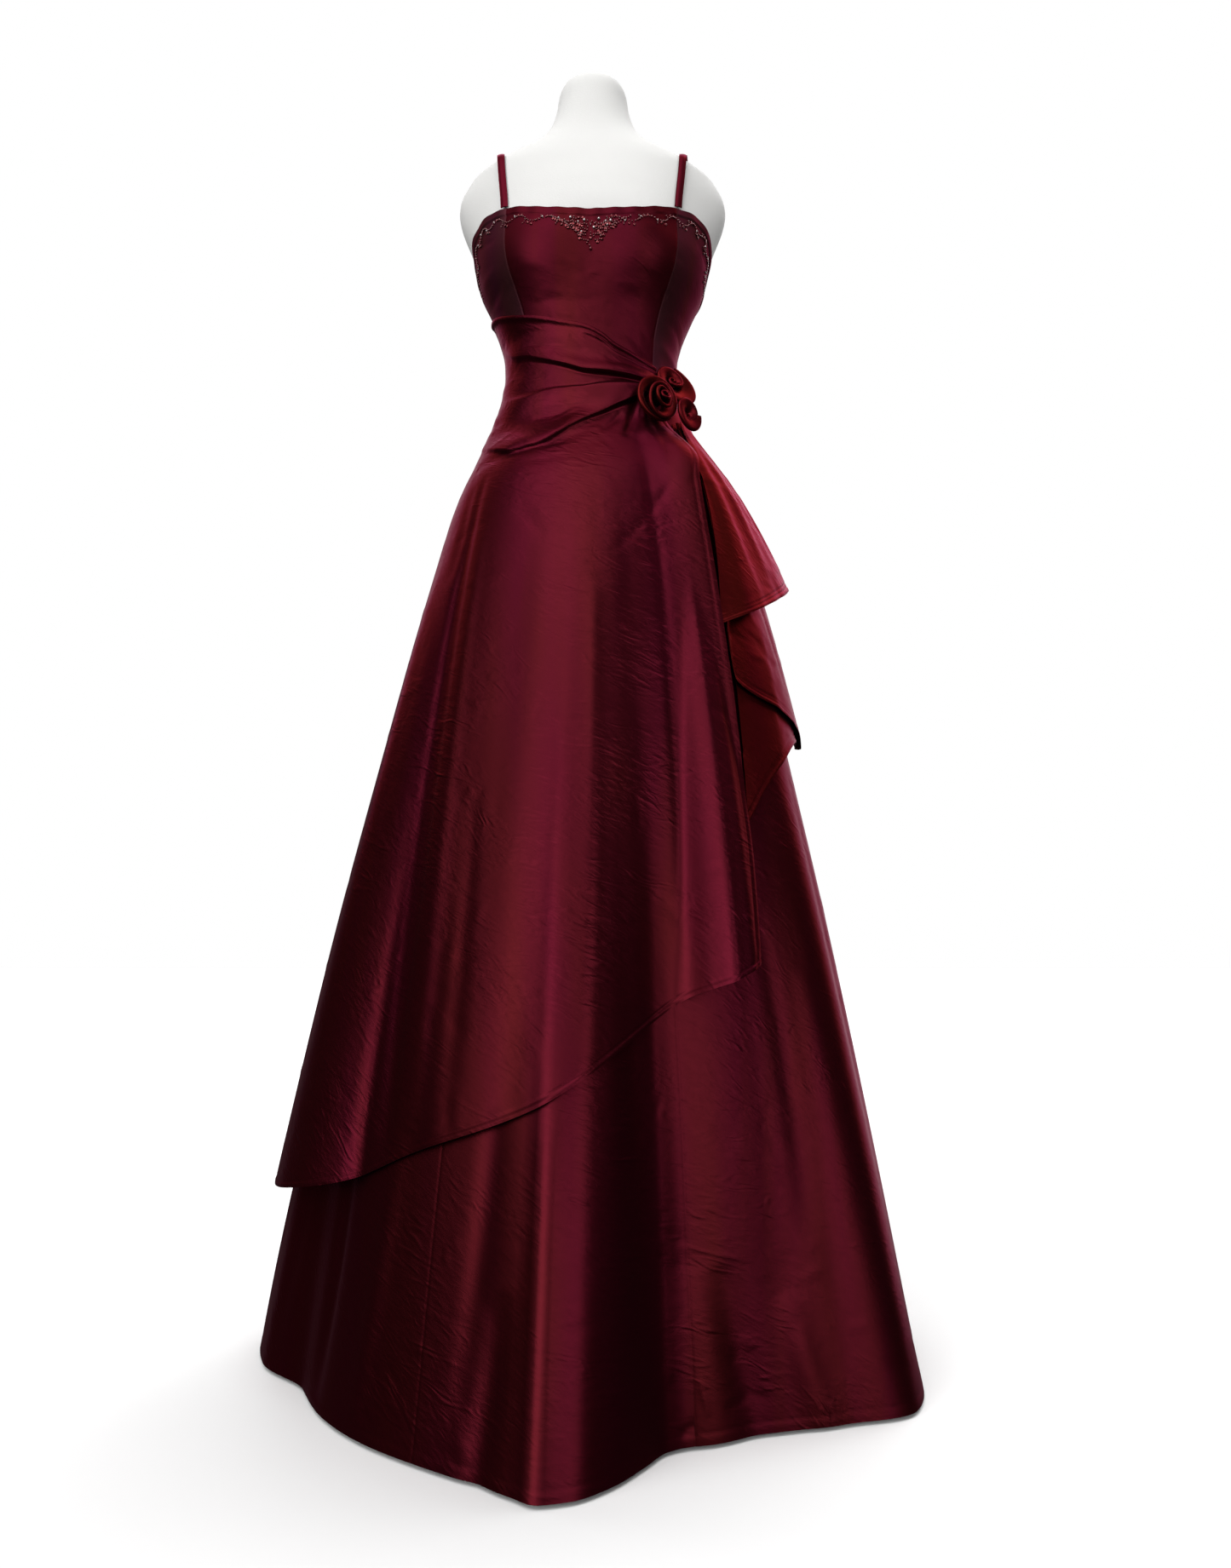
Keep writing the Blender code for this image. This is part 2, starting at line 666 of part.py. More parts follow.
def cascade_cover(angle, z):
    """The outside of the cascade's outermost layer near its top, or of the underskirt beside it."""
    (near, _, near_off, *_), (far, far_off, _, far_hem, *_) = CASCADE[:2]
    t = (CASCADE_TOP_Z - z) / (CASCADE_TOP_Z - far_hem)
    narrow = CASCADE_TOP_SPREAD + (1 - CASCADE_TOP_SPREAD) * t
    low, high = (CASCADE_TOP_ANGLE + (end - CASCADE_TOP_ANGLE) * narrow for end in (near, far))
    if not low - ROSE_MARGIN < angle < high + ROSE_MARGIN:
        return skirt_radius(angle, z)
    share = min(1.0, max(0.0, (angle - low) / (high - low)))
    gathered = cascade_top_off(CASCADE_RUN * share)
    hung = near_off + (far_off - near_off) * share
    return skirt_radius(angle, z) + gathered + (hung - gathered) * t


def drape_place(angle, z):
    """The place in the drape's table that has an angle at a height."""
    reach = (curve_through(DRAPE_EDGE, z)[0] - DRAPE_LEFT) / (DRAPE_RIGHT - DRAPE_LEFT)
    return DRAPE_LEFT + (angle - DRAPE_LEFT) / reach


def rose_ground(angle, z):
    """The outermost cloth under the roses: the overskirt's front, the cascade or the bodice."""
    ground = under_radius(angle, z)
    place = drape_place(angle, z)
    if place < DRAPE_RIGHT + ROSE_MARGIN:
        if z < curve_through(DRAPE, place)[0] + ROSE_SEAT:
            ground = over_radius(angle, z) + pleat_relief(angle, z)
    if z < CASCADE_TOP_Z + ROSE_SEAT:
        ground = max(ground, cascade_cover(angle, z))
    return ground


def rose(name, angle, z, radius, turns, tilt, cloth):
    """A rose rolled from one strip of cloth, with its face turned outwards."""
    out = (polar(angle, 1, 0) + Vector((0, 0, tilt))).normalized()
    right = Vector((0, 0, 1)).cross(out).normalized()
    up = out.cross(right)
    count = round(ROSE_STEPS * turns)

    def about_foot(s, t):
        """s runs along the strip from the heart outwards, t from its foot to its free edge."""
        share = max(0.0, s) / count
        turn = 2 * math.pi * turns * s / count
        foot = ROSE_HEART + (ROSE_FOOT * radius - ROSE_HEART) * share
        lip = ROSE_HEART + ROSE_WALL + (radius - ROSE_HEART - ROSE_WALL) * share
        r = foot + (lip - foot) * (t + t * t) / 2
        rise = radius * (ROSE_RISE - ROSE_FALL * share) * math.sin(t * math.pi * ROSE_CURL)
        return polar(angle, under_radius(angle, z), z) + out * rise + r * (
            right * math.cos(turn) + up * math.sin(turn)
        )

    spots = [about_foot(s, t) for s in range(count + 1) for t in (0, 0.5, 1)]
    lift = clear_height(spots, out)

    def point_at(s, t):
        return about_foot(s, t) + out * lift

    cloth_wall(name, point_at, list(range(count + 1)), even(0, 1, 3), ROSE_WALL, cloth)


def form_torso(cover):
    """The limbless form: hips to neck, with a domed top and a flat underside."""
    bm = bmesh.new()
    angles = [360 * i / FORM_COLUMNS for i in range(FORM_COLUMNS)]
    rings = []
    for z, *_ in FORM:
        rings.append([bm.verts.new(polar(angle, form_radius(angle, z), z)) for angle in angles])
    for low, high in zip(rings, rings[1:]):
        for i in range(FORM_COLUMNS):
            j = (i + 1) % FORM_COLUMNS
            bm.faces.new((low[i], low[j], high[j], high[i]))
    bm.faces.new(rings[0])
    crown = bm.verts.new((0, 0, FORM_TOP_Z))
    for i in range(FORM_COLUMNS):
        bm.faces.new((rings[-1][i], rings[-1][(i + 1) % FORM_COLUMNS], crown))
    return finish(bm, "form_torso", cover, 60)


def cylinder(name, radius, low, high, sides, metal, edge=0.0):
    bm = bmesh.new()
    bmesh.ops.create_cone(
        bm, cap_ends=True, segments=sides, radius1=radius, radius2=radius, depth=high - low
    )
    bmesh.ops.translate(bm, verts=bm.verts[:], vec=(0, 0, (low + high) / 2))
    if edge:
        rim = [e for e in bm.edges if all(abs(v.co.z - high) < edge / 10 for v in e.verts)]
        bmesh.ops.bevel(
            bm, geom=rim, offset=edge, segments=2, profile=0.5, affect="EDGES", material=-1
        )
    return finish(bm, name, metal)


def stand(metal):
    """The round base and its pole, which carry the form."""
    cylinder("stand_base", BASE_RADIUS, 0, BASE_HEIGHT, 40, metal, BASE_EDGE)
    pole_low = BASE_HEIGHT + SEAM_GAP
    cylinder("stand_pole", POLE_RADIUS, pole_low, FORM_BOTTOM_Z - SEAM_GAP, 20, metal)


def main():
    clear_scene()
    taffeta = material("taffeta", DARK_RED, 0.38)
    rose_taffeta = material("rose_taffeta", DEEP_RED, 0.36)
    cover = material("form_cover", IVORY, 0.85)
    metal = material("stand_metal", STEEL, 0.3, 0.9)
    stand(metal)
    form_torso(cover)
    bodice(taffeta)
    strap("strap_right", -1, taffeta)
    strap("strap_left", 1, taffeta)
    skirt(taffeta)
    overskirt_front(taffeta)
    overskirt_back(taffeta)
    cascade(taffeta)
    for name, angle, z, radius, turns, tilt in ROSES:
        rose(name, angle, z, radius, turns, tilt, rose_taffeta)


main()
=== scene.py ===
"""Looks of a burgundy taffeta evening dress on a limbless dress form.

Metres, +Z up, the dress faces -Y and its roses are on the +X side. Angles are in degrees round the Z axis,
from the front (0) towards +X (90). Every cloth piece is a thin shell on the form of its own CAD solid.
"""

import math
import random

import bmesh
import bpy
import numpy as np
from bpy.props import FloatProperty, FloatVectorProperty, IntProperty, PointerProperty
from bpy.types import Operator, Panel, PropertyGroup
from mathutils import Matrix, Vector


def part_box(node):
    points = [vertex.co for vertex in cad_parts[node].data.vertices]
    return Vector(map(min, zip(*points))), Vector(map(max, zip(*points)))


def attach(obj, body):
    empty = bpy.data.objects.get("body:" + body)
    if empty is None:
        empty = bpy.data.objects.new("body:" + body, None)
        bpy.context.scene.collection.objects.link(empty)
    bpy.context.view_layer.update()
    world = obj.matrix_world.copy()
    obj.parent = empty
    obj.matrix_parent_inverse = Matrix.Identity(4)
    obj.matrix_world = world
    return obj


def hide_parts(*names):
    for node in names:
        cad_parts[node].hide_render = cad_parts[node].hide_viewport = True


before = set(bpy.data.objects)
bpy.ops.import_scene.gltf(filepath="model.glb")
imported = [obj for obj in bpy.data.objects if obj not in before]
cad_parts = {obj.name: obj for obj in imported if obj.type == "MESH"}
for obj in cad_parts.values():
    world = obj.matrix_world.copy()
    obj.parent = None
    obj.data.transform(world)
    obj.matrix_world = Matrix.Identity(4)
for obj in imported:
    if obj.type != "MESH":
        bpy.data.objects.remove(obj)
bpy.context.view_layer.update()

bl_info = {
    "name": "Evening Dress on a Form",
    "version": (1, 0, 0),
    "blender": (4, 5, 0),
    "location": "View3D > Sidebar > Dress",
    "description": "Builds the looks of a draped taffeta evening dress",
    "category": "Object",
}

MM = 0.001

# Cloth and gaps, as the solids have them
WALL = 1.6 * MM
SEAM_GAP = 0.4 * MM
EASE = 2.2 * MM
HEM_Z = 0.004
WAIST_SEAM_Z = 1.085

# The form's sections: height, half width, depth to the front, depth to the back
FORM = (
    (0.860, 0.146, 0.100, 0.111),
    (0.905, 0.149, 0.103, 0.115),
    (0.950, 0.147, 0.103, 0.113),
    (1.000, 0.137, 0.100, 0.105),
    (1.050, 0.120, 0.094, 0.093),
    (1.090, 0.107, 0.089, 0.083),
    (1.130, 0.1005, 0.086, 0.077),
    (1.155, 0.102, 0.087, 0.076),
    (1.185, 0.1095, 0.091, 0.078),
    (1.215, 0.1215, 0.097, 0.081),
    (1.245, 0.1345, 0.102, 0.084),
    (1.275, 0.1415, 0.105, 0.086),
    (1.305, 0.1440, 0.103, 0.087),
    (1.345, 0.1450, 0.093, 0.085),
    (1.372, 0.1455, 0.084, 0.082),
    (1.392, 0.1450, 0.077, 0.078),
    (1.410, 0.1280, 0.070, 0.072),
    (1.427, 0.0960, 0.063, 0.066),
    (1.444, 0.0700, 0.057, 0.061),
    (1.466, 0.0545, 0.051, 0.055),
    (1.492, 0.0465, 0.046, 0.049),
    (1.515, 0.0430, 0.042, 0.044),
    (1.528, 0.0370, 0.036, 0.037),
    (1.536, 0.0260, 0.025, 0.026),
)
FORM_TOP_Z = 1.540
# The dome over the last section: height, share of that section's half width
FORM_DOME = ((1.5383, 0.78), (1.5396, 0.5), (FORM_TOP_Z, 0.2))
SECTION_POWER = 2.15
CAP = {"angle": 90, "spread": 13, "z": 1.358, "below": 0.095, "above": 0.062, "out": 0.023}
CUP = {"angle": 35, "spread": 20, "z": 1.245, "tall": 0.042, "out": 0.011}

# The underskirt's sections, as the form's are given, before its folds
SKIRT = (
    (HEM_Z, 0.345, 0.352, 0.370),
    (0.250, 0.305, 0.314, 0.330),
    (0.450, 0.270, 0.274, 0.290),
    (0.650, 0.230, 0.230, 0.246),
    (0.800, 0.199, 0.194, 0.208),
    (0.900, 0.175, 0.165, 0.176),
    (0.960, 0.158, 0.144, 0.150),
    (1.010, 0.137, 0.118, 0.122),
    (1.050, 0.118, 0.096, 0.098),
    (1.090, 0.100, 0.080, 0.078),
)
# Crests and valleys of the underskirt's hem, sharper than the solid's: angle, depth outwards
SKIRT_FOLDS = (
    (-180, -0.010),
    (-150, 0.022),
    (-122, -0.024),
    (-96, 0.022),
    (-78, 0.002),
    (-62, -0.036),
    (-48, -0.028),
    (-30, -0.012),
    (-22, -0.001),
    (-14, 0.016),
    (-8, 0.036),
    (-5, 0.047),
    (-1, 0.041),
    (4, 0.016),
    (9, -0.018),
    (14, -0.047),
    (19, -0.055),
    (26, -0.053),
    (35, -0.046),
    (46, -0.018),
    (57, 0.020),
    (84, -0.004),
    (108, 0.020),
    (132, -0.026),
    (158, 0.024),
)
SKIRT_FOLD_TOP_Z = 0.98
SKIRT_FOLD_GROWTH = 1.4
SKIRT_BLEND = 0.004
# The underskirt's gores: name, angle of its left seam, columns of faces
GORES = (
    ("skirt_side_right", -92, 100),
    ("skirt_front", -24, 72),
    ("skirt_side_left", 19, 110),
    ("skirt_back_left", 92, 90),
    ("skirt_back_right", 180, 90),
    ("", 268, 0),
)

# The bodice's top edge, the same on both sides: angle from the front, height
TOP_EDGE = (
    (0, 1.294),
    (25, 1.299),
    (50, 1.312),
    (64, 1.316),
    (76, 1.306),
    (84, 1.283),
    (91, 1.257),
    (100, 1.241),
    (120, 1.231),
    (150, 1.226),
    (180, 1.224),
)
FRONT_SEAM_TOP = 51
FRONT_SEAM_WAIST = 47
SIDE_SEAM = 92

# The overskirt's front: its top edge and its hem, as angle and height
DRAPE_TOP = (
    (-95, 1.2120),
    (-76, 1.2007),
    (-58, 1.1870),
    (-43, 1.1775),
    (-23, 1.1662),
    (-4, 1.1579),
    (8, 1.1478),
    (16, 1.1375),
    (29, 1.1277),
    (39, 1.1207),
    (46, 1.1165),
)
DRAPE_HEM = (
    (-95, 0.190),
    (-70, 0.193),
    (-45, 0.211),
    (-22, 0.252),
    (0, 0.292),
    (20, 0.354),
    (34, 0.392),
    (46, 0.420),
)
DRAPE_LEFT = -95
DRAPE_RIGHT = 46
DRAPE_EDGE = (
    (0.40, 33),
    (0.48, 35.6),
    (0.55, 37.6),
    (0.69, 39),
    (0.80, 39.6),
    (0.87, 40.4),
    (0.91, 41),
    (0.954, 42.5),
    (1.003, 47.5),
    (1.03, 48),
    (1.12, 47),
)
# Crests of the three pleats that run into the roses: angle, height, how far the crest stands off
UPPER_PLEAT = (
    (-74, 1.1530, 0.0),
    (-57, 1.1350, 0.0030),
    (-48, 1.1302, 0.0035),
    (-33, 1.1192, 0.0050),
    (-17, 1.1085, 0.0062),
    (-2, 1.0995, 0.0072),
    (12, 1.0976, 0.0080),
    (25, 1.0955, 0.0078),
    (35, 1.0932, 0.0065),
    (46, 1.0920, 0.0040),
)
MIDDLE_PLEAT = (
    (-72, 1.0900, 0.0),
    (-56, 1.0780, 0.0018),
    (-43, 1.0745, 0.0035),
    (-25, 1.0764, 0.0050),
    (-8, 1.0762, 0.0062),
    (7, 1.0794, 0.0070),
    (20, 1.0817, 0.0068),
    (33, 1.0825, 0.0055),
    (46, 1.0840, 0.0030),
)
LOWER_PLEAT = (
    (-84, 1.0380, 0.0),
    (-68, 1.0226, 0.0022),
    (-50, 1.0060, 0.0042),
    (-40, 0.9980, 0.0052),
    (-31, 0.9995, 0.0058),
    (-23, 1.0035, 0.0062),
    (-17, 1.0123, 0.0066),
    (-11, 1.0235, 0.0070),
    (-1, 1.0370, 0.0070),
    (7, 1.0451, 0.0068),
    (15, 1.0542, 0.0066),
    (27, 1.0667, 0.0058),
    (33, 1.0744, 0.0048),
    (46, 1.0790, 0.0030),
)
# Each pleat with its roundness above and below the crest
PLEATS = ((UPPER_PLEAT, 0.015, 0.0022), (MIDDLE_PLEAT, 0.0030, 0.017), (LOWER_PLEAT, 0.023, 0.0035))
PLEAT_BELOW = 0.05
# Share of the rows down to each line: the top edge, the crests, below the pleats, the hem
DRAPE_ROWS = (0.0, 0.15, 0.21, 0.33, 0.42, 1.0)
# Crests and valleys of the overskirt, sharper than the solid's: angle, depth outwards
OVER_FOLDS = (
    (-180, 0.020),
    (-150, 0.036),
    (-122, 0.006),
    (-96, 0.027),
    (-72, 0.030),
    (-64, 0.029),
    (-56, 0.020),
    (-47, 0.000),
    (-40, -0.020),
    (-36, -0.019),
    (-31, -0.008),
    (-26, 0.005),
    (-20, 0.014),
    (-12, 0.025),
    (-5, 0.030),
    (0, 0.029),
    (4, 0.019),
    (8, 0.002),
    (12, -0.014),
    (16, -0.028),
    (19, -0.033),
    (22, -0.024),
    (26, 0.014),
    (29, 0.036),
    (32, 0.036),
    (35, 0.027),
    (38, 0.021),
    (60, 0.030),
    (100, 0.015),
    (132, 0.006),
    (158, 0.039),
)
# How the front folds lean, in degrees a metre upwards from a level
OVER_LEAN = 14
OVER_LEAN_LEVEL = 0.50
OVER_LEAN_START = 10
OVER_LEAN_END = 50
OVER_LEAN_FADE = 20
OVER_REST = ((0.10, 0.0040), (1.00, 0.0036), (1.05, 0.0024), (1.10, 0.0012), (1.25, 0.0012))
OVER_FOLD_GROWTH = 0.8
OVER_BLEND = 0.003
CLOTH_CLEAR = 2.2 * MM
EDGE_LIFT = 0.0225
EDGE_LIFT_FROM = 24
EDGE_LIFT_FADE = 0.08
EDGE_LIFT_ABOVE = 0.01
BACK_DRAPE = (
    (-95, 1.212, 0.190),
    (-125, 1.192, 0.194),
    (-155, 1.166, 0.232),
    (-185, 1.142, 0.310),
    (-215, 1.122, 0.430),
    (-240, 1.108, 0.560),
    (-262, 1.098, 0.664),
)
BACK_EDGE = (
    (0.664, 98),
    (0.80, 95.5),
    (0.863, 90),
    (0.90, 85),
    (0.955, 78),
    (1.00, 73),
    (1.046, 70),
    (1.12, 70),
)

# The cascade, one row for each turn of its folded hem: angle, distance off the underskirt on the outer and
# the inner side of the turn, height of the hem before and after the turn, how late the hem falls after it
CASCADE = (
    (40, 0.0165, 0.0165, 0.777, 0.777, 1.0),
    (80, 0.0490, 0.0435, 0.852, 0.852, 1.0),
    (44, 0.0130, 0.0090, 0.797, 0.719, 0.5),
    (92, 0.0250, 0.0170, 0.672, 0.672, 3.0),
    (41, 0.0048, 0.0048, 0.562, 0.562, 1.0),
)
CASCADE_TOP_Z = 1.046
CASCADE_TOP_ANGLE = 57
CASCADE_TOP_REST = 0.0006
CASCADE_TOP_DEPTH = 0.0125
CASCADE_TOP_SPREAD = 0.17
CASCADE_RUN = 7
CASCADE_TURN = 4
CASCADE_RIDGE = {"angle": 49, "spread": 6, "out": 0.006}

# The roses: node, angle that it faces, tilt of the face upwards, radius, pull of the outer petals and where
# to, in degrees from the right, anticlockwise, then how far it is moved right, up and out of its solid
ROSES = (
    ("rose_main", 38.5, 0.10, 0.0285, 0.06, 215, (0.001, -0.002, 0.000)),
    ("rose_upper", 34, 0.30, 0.0235, 0.42, -28, (0.000, 0.001, 0.001)),
    ("rose_lower", 40, 0.05, 0.0180, 0.14, -75, (-0.007, 0.010, 0.001)),
)
# How each rose is wound: turn, then radius at the foot and at the lip and height as shares of its radius
ROSE_WRAPS = {
    "rose_main": (
        (0.0, 0.03, 0.09, 0.86),
        (0.6, 0.08, 0.20, 0.86),
        (1.3, 0.17, 0.36, 0.82),
        (2.0, 0.28, 0.54, 0.74),
        (2.5, 0.35, 0.64, 0.66),
        (2.8, 0.44, 0.86, 0.50),
        (3.2, 0.52, 0.98, 0.42),
        (3.9, 0.57, 1.00, 0.36),
    ),
    "rose_upper": (
        (0.0, 0.02, 0.16, 0.50),
        (0.7, 0.08, 0.34, 0.56),
        (1.2, 0.14, 0.72, 0.60),
        (1.6, 0.20, 0.98, 0.56),
        (2.2, 0.24, 1.00, 0.50),
    ),
    "rose_lower": (
        (0.0, 0.02, 0.16, 0.12),
        (0.6, 0.05, 0.34, 0.26),
        (1.0, 0.10, 0.78, 0.54),
        (1.5, 0.14, 1.00, 0.66),
        (2.0, 0.18, 1.04, 0.60),
    ),
}
ROSE_LIP = 0.0019

# Width that the turned edges leave
STRAP_SEEN = 0.009
STRAP_HUB_Z = 1.25
STRAP_FRONT = {"x": 0.103, "turn": 36}
STRAP_TOP_X = 0.117
STRAP_BACK = {"x": 0.072, "turn": 196}
STRAP_MIDDLE_TURN = 100
STRAP_REST = 0.0022
STRAP_LEAN = 0.25
# Degrees that a strap stops short of its solid at each end
STRAP_INSET = 0.4

# Creases, listed one by one: angle and height of each end, then width, height of the ridge (below 0 a trough)
# and bow sideways, all three in millimetres
DRAPE_CREASES = (
    (-16, 1.1450, 38, 1.1060, 6, -2.0, 2),
    (-60, 1.1600, -20, 1.1420, 6, -0.9, 3),
    (-50, 1.1440, -16, 1.1290, 3, -0.8, 1),
    (-38, 1.1390, -20, 1.1350, 3, 0.6, 1),
    (-66, 1.1210, -30, 1.0960, 6, -1.0, 3),
    (-30, 1.0580, 0, 1.0560, 4, -1.0, -1),
    (-36, 1.0400, -14, 1.0420, 4, -0.9, 1),
    (-24, 1.0340, -8, 1.0480, 3, 0.7, 1),
    (-62, 0.9900, -2, 1.0110, 8, -2.4, -5),
    (-24, 0.9930, -12, 0.9990, 3, -0.9, 0),
    (31, 1.0700, 18, 1.0080, 4, -3.0, 2),
    (36, 1.0600, 27, 1.0050, 5, 1.6, 2),
    (38, 1.0500, 34, 0.9700, 5, -1.8, 2),
    (20, 1.0480, 6, 1.0160, 4, -1.2, 2),
    (-88, 1.1600, -66, 1.1350, 6, -1.1, -2),
    (-90, 1.1100, -60, 1.1050, 7, 0.9, 2),
    (-86, 1.0550, -58, 1.0500, 7, -1.1, 3),
    (34, 0.9520, 7, 0.8490, 4, -1.0, 4),
    (-29, 0.9140, -14, 0.8700, 4, -0.9, 2),
    (-56, 0.9600, -52, 0.8400, 9, -1.8, 3),
    (-49, 0.9700, -37, 0.2300, 11, -6.0, 5),
    (-40, 0.9000, -30, 0.2600, 10, 1.6, 4),
    (-64, 0.8500, -60, 0.2500, 20, 2.6, 5),
    (-76, 0.9000, -70, 0.2300, 16, -2.0, 5),
    (-86, 0.8000, -82, 0.2300, 13, 1.6, 4),
    (-14, 0.9300, -15, 0.3600, 22, 1.8, 6),
    (2, 0.8200, 1, 0.2800, 9, 2.0, 2),
    (24, 0.9800, 21, 0.3600, 8, -2.2, 3),
    (30, 0.7600, 26, 0.3800, 9, 2.4, -2),
    (-26, 0.6000, -23, 0.2700, 10, -1.6, 3),
)
BACK_CREASES = (
    (-100, 1.180, -150, 1.130, 6, -1.6, 4),
    (-100, 1.140, -165, 1.085, 7, 1.5, 5),
    (-105, 1.090, -190, 1.060, 7, -1.8, 4),
    (-130, 1.050, -230, 1.058, 8, 1.4, -5),
    (-288, 1.085, -215, 1.110, 6, -1.9, 4),
    (-287, 1.072, -200, 1.075, 6, 1.7, 3),
    (-287, 1.060, -225, 1.030, 7, -2.0, -5),
    (-286, 1.045, -245, 0.960, 8, -1.7, -6),
    (-150, 0.980, -148, 0.400, 16, 2.2, 8),
    (-122, 0.900, -124, 0.350, 13, -2.2, -5),
    (-188, 0.960, -180, 0.480, 15, -2.3, 6),
    (-206, 0.940, -202, 0.520, 14, 2.2, -5),
    (-230, 0.920, -226, 0.620, 12, -1.9, 5),
    (-250, 0.960, -246, 0.700, 10, 1.8, 4),
)
SKIRT_CREASES = (
    (19, 0.150, 23, -0.110, 28, 3.4, 2),
    (25, 0.150, 34, -0.090, 20, -3.4, 3),
    (38, 0.120, 43, -0.010, 14, 3.0, -3),
    (-5, 0.330, -5, -0.020, 9, 3.0, 2),
    (-11, 0.150, -14, -0.040, 12, -3.5, 2),
    (8, 0.420, 10, 0.006, 15, -4.0, 3),
    (-14, 0.330, -17, 0.030, 12, -2.2, 4),
    (-34, 0.250, -38, 0.010, 13, 2.2, 3),
    (-50, 0.260, -53, 0.010, 16, -6.5, 4),
    (-70, 0.230, -74, 0.010, 12, -2.0, -3),
    (-86, 0.220, -90, 0.010, 12, 2.0, 3),
    (48, 0.560, 50, 0.010, 16, 2.2, 6),
    (63, 0.640, 66, 0.020, 14, -2.4, -5),
    (76, 0.520, 80, 0.010, 13, 2.0, 5),
    (41, 0.480, 43, 0.160, 10, -1.8, 3),
    (98, 0.560, 96, 0.010, 14, -2.2, 5),
    (120, 0.430, 122, 0.010, 14, 2.2, 5),
    (146, 0.330, 143, 0.010, 14, -2.4, -5),
    (172, 0.260, 176, 0.010, 13, 2.2, 4),
    (200, 0.240, 197, 0.010, 14, -2.2, 4),
    (224, 0.200, 228, 0.010, 13, 2.0, -4),
    (252, 0.200, 249, 0.010, 12, -2.2, 4),
)
BODICE_CREASES = (
    (-6, 1.286, -9, 1.266, 3, -0.9, 1),
    (-1, 1.284, -1, 1.258, 3, -1.0, 0),
    (5, 1.286, 7, 1.264, 3, -0.9, -1),
    (13, 1.287, 17, 1.270, 3, -0.6, 1),
    (-14, 1.287, -18, 1.270, 3, -0.6, -1),
    (-40, 1.196, 10, 1.190, 6, -0.7, -6),
    (-30, 1.176, 22, 1.168, 5, 0.6, -4),
    (-8, 1.170, 36, 1.132, 6, -0.9, 5),
    (10, 1.160, 42, 1.118, 5, 0.8, 4),
    (22, 1.175, 44, 1.148, 5, -0.6, 3),
    (-44, 1.235, -20, 1.215, 6, 0.5, 3),
    (30, 1.225, 45, 1.200, 5, -0.5, 2),
    (56, 1.180, 88, 1.165, 6, -0.9, 4),
    (54, 1.150, 84, 1.140, 6, 0.8, -4),
    (56, 1.125, 90, 1.120, 6, -0.8, 3),
    (-56, 1.225, -84, 1.216, 6, -0.8, 3),
    (-60, 1.245, -80, 1.243, 6, 0.6, 2),
    (104, 1.200, 160, 1.186, 6, -0.8, 4),
    (110, 1.160, 172, 1.150, 6, 0.7, 4),
    (-104, 1.215, -150, 1.205, 6, -0.7, 3),
)
CASCADE_CREASES = (
    (50, 1.020, 47, 0.830, 6, -1.5, 3),
    (57, 1.030, 64, 0.850, 7, 1.8, 4),
    (61, 1.030, 74, 0.880, 6, -1.6, 4),
    (55, 0.960, 56, 0.800, 6, 1.2, -3),
    (66, 0.860, 70, 0.720, 8, -1.5, 4),
    (60, 0.800, 58, 0.640, 8, 1.3, -4),
)


def curve(rows, at, column=1):
    """One column of a table at places in its first column, on a smooth curve through its rows."""
    keys = np.array([row[0] for row in rows], float)
    values = np.array([row[column] for row in rows], float)
    if keys[0] > keys[-1]:
        keys, values = keys[::-1], values[::-1]
    rises = np.diff(values) / np.diff(keys)
    before, after = rises[:-1], rises[1:]
    turning = before * after <= 0
    both = np.where(turning, 1.0, before + after)
    inner = np.where(turning, 0.0, 2 * before * after / both)
    slopes = np.concatenate(([rises[0]], inner, [rises[-1]]))
    at = np.clip(at, keys[0], keys[-1])
    i = np.clip(np.searchsorted(keys, at, side="right") - 1, 0, len(keys) - 2)
    span = keys[i + 1] - keys[i]
    t = (at - keys[i]) / span
    rise = values[i + 1] - values[i]
    a, b = slopes[i] * span, slopes[i + 1] * span
    return values[i] + t * (a + t * (3 * rise - 2 * a - b + t * (a + b - 2 * rise)))


def round_curve(rows, angle):
    first = rows[0]
    closed = rows + ((first[0] + 360, first[1]),)
    return curve(closed, (angle - first[0]) % 360 + first[0])


def smoothstep(x):
    x = np.clip(x, 0.0, 1.0)
    return x * x * (3 - 2 * x)


def smooth_max(a, b, blend):
    h = np.maximum(0.0, blend - np.abs(a - b)) / blend
    return np.maximum(a, b) + h * h * blend / 4


def bump(distance, spread):
    return np.exp(-((distance / spread) ** 2))


def wrapped(angle):
    return (angle + 180) % 360 - 180


def polar(angle, radius, z):
    a = np.radians(angle)
    return np.stack((radius * np.sin(a), -radius * np.cos(a), z + 0 * a), axis=-1)


def section_radius(table, angle, z):
    a = np.radians(angle)
    depth = np.where(np.cos(a) > 0, curve(table, z, 2), curve(table, z, 3))
    across = np.abs(np.sin(a) / curve(table, z, 1)) ** SECTION_POWER
    along = np.abs(np.cos(a) / depth) ** SECTION_POWER
    return (across + along) ** (-1 / SECTION_POWER)


def form_radius(angle, z):
    side = np.abs(wrapped(angle))
    tall = np.where(z > CAP["z"], CAP["above"], CAP["below"])
    rise = np.cos(np.pi / 2 * np.minimum(1.0, np.abs(z - CAP["z"]) / tall)) ** 2
    cap = CAP["out"] * bump(side - CAP["angle"], CAP["spread"]) * rise
    cup = CUP["out"] * bump(side - CUP["angle"], CUP["spread"]) * bump(z - CUP["z"], CUP["tall"])
    return section_radius(FORM, angle, z) + cap + cup


def bodice_radius(angle, z):
    return form_radius(angle, np.maximum(z, FORM[0][0])) + EASE + WALL


